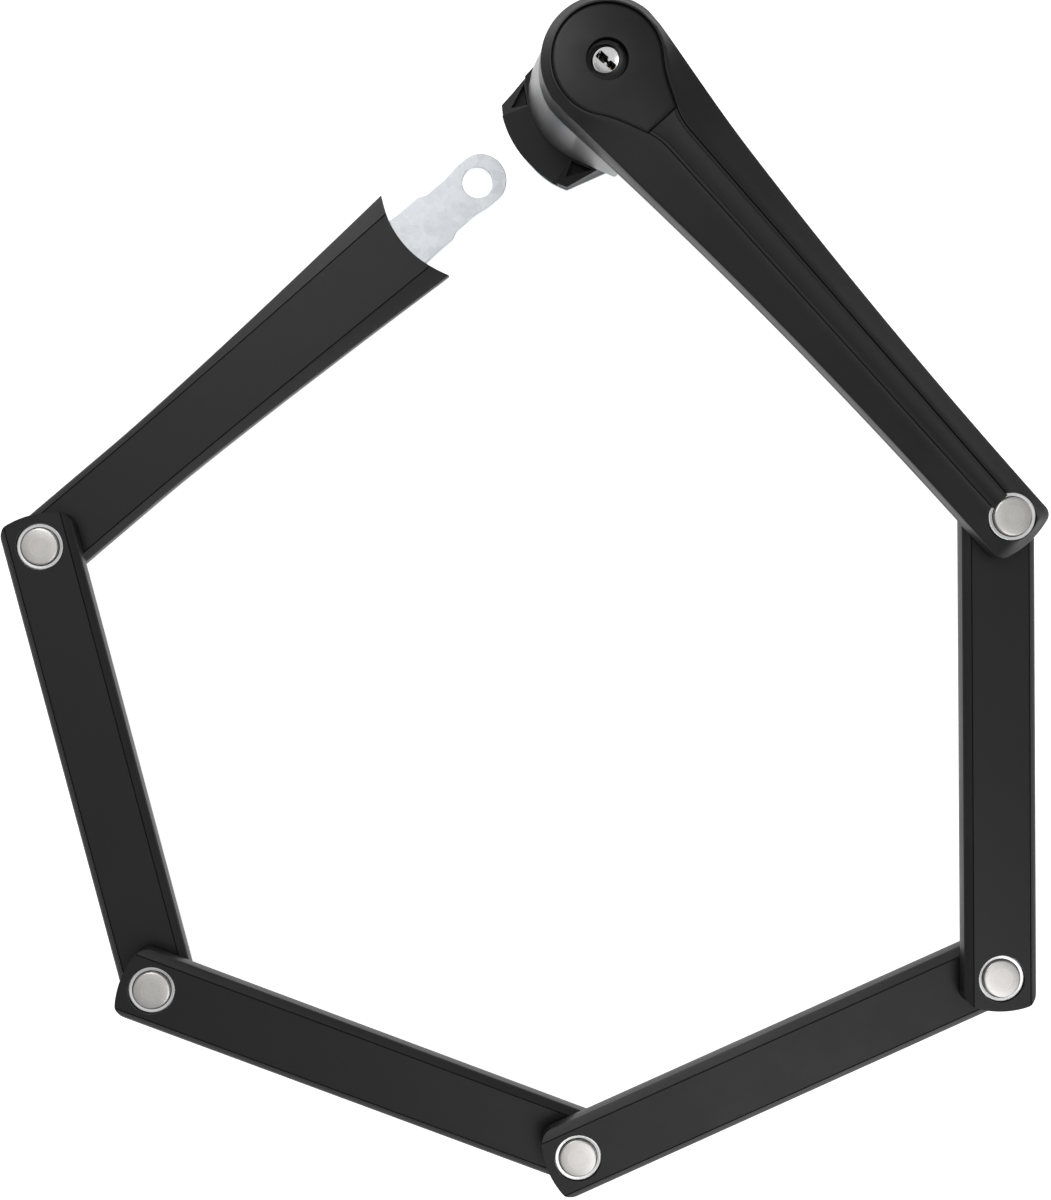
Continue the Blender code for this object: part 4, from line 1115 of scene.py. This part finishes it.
def makeBasePlate():
    low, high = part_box("base_plate")
    outline = guideOutline(guide["footOuter"], guide["footHub"], 0.0001)
    sheet = barMesh("basePlate", outline, low.z, high.z)
    tools = [drum(guide["boltWay"], 0.0005, high.z + 0.001)]
    for k in range(1, 5):
        spot = screwSpot(k)[0]
        tools += [through(screw["way"], low, high, spot, 32),
                  drum(screw["sink"], low.z - 0.001, screw["sinkTop"], spot, 48)]
    carve(sheet, tools)
    finished(sheet, "lock_body", "zincPlate", ("base_plate",),
             soften=0.0002)


def screwTree():
    # a turned screw with a ridged shank, then a six-sided socket cut into its head
    inputs = [("Socket", "NodeSocketFloat", screw["socket"]),
              ("Socket Depth", "NodeSocketFloat", screw["socketDeep"])]
    tree, graph, given = newTree("screw", inputs + [("Finish", "NodeSocketMaterial", None)])
    shape = spun(graph, given["Geometry"], 40, len(screwProfile(0.0, 1.0)))
    hexagon = graph.add("GeometryNodeMeshCylinder", None,
                        {"Vertices": 6, "Radius": given["Socket"],
                         "Depth": given["Socket Depth"] * 2.0})
    closeTree(graph, cutFrom(graph, shape, [hexagon]), given["Finish"])
    return tree


def screwProfile(low, high):
    s = screw
    points = [(0.0, high), (s["shank"] - 0.0004, high), (s["shank"] - 0.00005, high - 0.0004)]
    z = high - 0.0006
    while z > low + s["seat"] + 0.0012 and len(points) < 34:
        points += [(s["shank"] - 0.00022, z), (s["shank"], z - s["thread"] / 2)]
        z -= s["thread"]
    points += [(s["shank"], low + s["seat"]), (s["head"] - s["chamfer"], low + s["seat"]),
               (s["head"], low + s["seat"] - 0.0001), (s["head"], low + s["chamfer"]),
               (s["head"] - s["chamfer"], low), (0.0, low)]
    return points


def makeScrews():
    low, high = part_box("base_screw_1")
    profile = [(r, 0.0, z - low.z) for r, z in screwProfile(low.z, high.z)]
    tree = screwTree()
    for k in range(1, 5):
        spot, foot, _ = screwSpot(k)
        where = Matrix.Translation((*spot, foot))
        made = grown(f"baseScrew_{k}", edgesOnly("screw", profile), tree,
                     {"Finish": finishes["screwSteel"], "Socket": screw["socket"],
                      "Socket Depth": screw["socketDeep"]}, where)
        finished(made, "lock_body", replaced=(f"base_screw_{k}",), sharp=35)


plug = {"radius": 0.0047, "start": -0.0038, "waist": (-0.0002, 0.0006), "end": 0.0033,
        "halves": (0.00135, 0.00045, 0.00115), "corner": 0.00045, "turn": 5.7,
        "shroudOuter": 0.0065, "shift": 0.0010, "edge": 0.00022}


def keywayOutline():
    p = plug
    wide, waist, narrow = p["halves"]
    left, right = p["waist"]
    corners = [(p["start"], -wide), (left, -wide), (left, -waist), (right, -waist),
               (right, -narrow), (p["end"], -narrow), (p["end"], narrow), (right, narrow),
               (right, waist), (left, waist), (left, wide), (p["start"], wide)]
    small = 0.0003
    radii = [p["corner"], p["corner"], small, small, p["corner"], p["corner"], p["corner"],
             p["corner"], small, small, p["corner"], p["corner"]]
    return fillet(corners, radii, 6)


def paintKeywayShade(piece, top):
    # inside the keyway the walls get a near-black finish: painted shade for the deep recess
    piece.data.materials.append(finishes["wellDark"])
    for face in piece.data.polygons:
        middle = face.center
        inside = middle.xy.length < plug["radius"] - 0.00035
        if inside and middle.z < top - 0.00016:
            face.material_index = 1


def makePlug():
    # dished chrome face with a bright rim, the keyway sunk through it
    p = plug
    low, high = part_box("cylinder_plug")
    top = high.z
    profile = [(0.0, top - 0.00012), (0.0020, top - 0.00010), (p["radius"] - 0.0009, top - 0.00006),
               (p["radius"] - 0.0006, top), (p["radius"] - 0.00025, top),
               (p["radius"], top - 0.0003), (p["radius"], low.z + 0.0003),
               (p["radius"] - 0.0003, low.z), (0.0, low.z)]
    barrel = turned("plugBarrel", profile, (0.0, 0.0), "plugChrome")
    slots = []
    for k in range(1, 6):
        a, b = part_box(f"detainer_{k}")
        slots.append(barMesh("slot", [(-0.0031, 0.0), (0.0031, 0.0), (0.0031, 0.006),
                                      (-0.0031, 0.006)], a.z - 0.00015, b.z + 0.00015))
    key = barMesh("keyway", keywayOutline(), low.z + 0.002, top + 0.001)
    turn = Matrix.Rotation(math.radians(p["turn"]), 4, "Z")
    for tool in [key] + slots:
        tool.data.transform(turn)
    carve(barrel, [key] + slots)
    paintKeywayShade(barrel, top)
    finished(barrel, "key_plug", replaced=("cylinder_plug",), sharp=35,
             soften=p["edge"] * 0.4)
    a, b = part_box("keyhole_shroud")
    outer = p["shroudOuter"]
    ringProfile = [(p["radius"] - 0.0002, a.z), (p["radius"] - 0.0002, a.z + 0.0002),
                   (p["radius"] + 0.0003, b.z - 0.00003), (outer - 0.0003, b.z),
                   (outer, b.z - 0.0002), (outer, a.z), (p["radius"] - 0.0002, a.z)]
    washer = turned("shroudRing", ringProfile, (0.0, 0.0), "shroudBlack")
    spot = turn @ Vector((-p["shift"], 0.0, 0.0))
    for vertex in washer.data.vertices:
        inner = limited((outer - vertex.co.xy.length) / (outer - p["radius"]))
        vertex.co.x += spot.x * inner
        vertex.co.y += spot.y * inner
    finished(washer, "key_plug", replaced=("keyhole_shroud",), sharp=35)


makeCasting()
makeGuide()
makeBasePlate()
makeScrews()
makePlug()
print("head ready")

makeCover()
makeFacePlate()
makeStrip()
makeTray()
print("body ready")


# table, light and camera

def makeFloor():
    size = {"half": 1.6, "centre": (0.08, -0.14), "gap": 0.00002, "color": (0.93, 0.93, 0.93)}
    made, graph, shader = newFinish("paleTable", size["color"], 0.75, specular=0.1)
    shade = noise(graph, objectSpace(graph), 90.0, 3.0)
    feed(graph, shader, roughness=0.72 + shade * 0.08,
         color=tint(graph, shade, (0.925, 0.925, 0.925), (0.935, 0.935, 0.935)))
    shader.inputs["Emission Color"].default_value = (1.0, 1.0, 1.0, 1.0)
    shader.inputs["Emission Strength"].default_value = 0.80
    mesh = bpy.data.meshes.new("floor")
    x, y, half, z = size["centre"][0], size["centre"][1], size["half"], -size["gap"]
    corners = [(x - half, y - half, z), (x + half, y - half, z), (x + half, y + half, z),
               (x - half, y + half, z)]
    mesh.from_pydata(corners, [], [(0, 1, 2, 3)])
    floor = placed("floor", mesh)
    floor.data.materials.append(made)


def areaLamp(name, at, aim, size, power):
    lamp = bpy.data.lights.new(name, "AREA")
    lamp.shape = "RECTANGLE"
    lamp.size, lamp.size_y = size
    lamp.energy = power
    holder = placed(name, lamp)
    holder.location = at
    holder.rotation_euler = (Vector(aim) - Vector(at)).to_track_quat("-Z", "Y").to_euler()


def makeLights():
    centre = (0.12, -0.14, 0.0)
    areaLamp("overhead", (0.10, -0.10, 1.25), centre, (1.5, 1.5), 2.6)
    areaLamp("left bank", (-0.75, 0.10, 0.60), centre, (0.5, 1.4), 5.0)
    areaLamp("right bank", (0.95, -0.30, 0.60), centre, (0.5, 1.4), 3.0)
    world = bpy.data.worlds.new("studio")
    world.use_nodes = True
    background = world.node_tree.nodes["Background"]
    background.inputs["Color"].default_value = (1.0, 1.0, 1.0, 1.0)
    background.inputs["Strength"].default_value = 0.26
    bpy.context.scene.world = world
    bpy.context.scene.view_settings.view_transform = "Standard"
    bpy.context.scene.view_settings.look = "None"


def makeCamera():
    view = {"at": (0.0879, -0.1420, 0.46445), "turn": (-0.0225, -0.0460, 0.8260), "lens": 39.22}
    camera = bpy.data.cameras.new("camera")
    camera.lens = view["lens"]
    camera.sensor_width = 36.0
    camera.sensor_fit = "AUTO"
    holder = placed("camera", camera)
    holder.location = view["at"]
    holder.rotation_euler = view["turn"]
    bpy.context.scene.camera = holder


def dressKept():
    # nodes that stay as they are, most of them out of sight inside
    dress = {"zincPlate": ["body_bar", "rivet_collar"] + [f"link_bar_{k}" for k in range(1, 5)],
             "brass": [f"rivet_spacer_{k}" for k in range(1, 6)] + ["sidebar"]
             + [f"detainer_{k}" for k in range(1, 6)],
             "boltSteel": ["locking_bolt"], "springWire": ["bolt_spring"],
             "shroudBlack": ["cylinder_shell"]}
    for name, nodes in dress.items():
        for node in nodes:
            mesh = bpy.data.objects[node].data
            mesh.materials.clear()
            mesh.materials.append(finishes[name])


dressKept()
makeFloor()
makeLights()
makeCamera()
bpy.data.collections.remove(scratch)
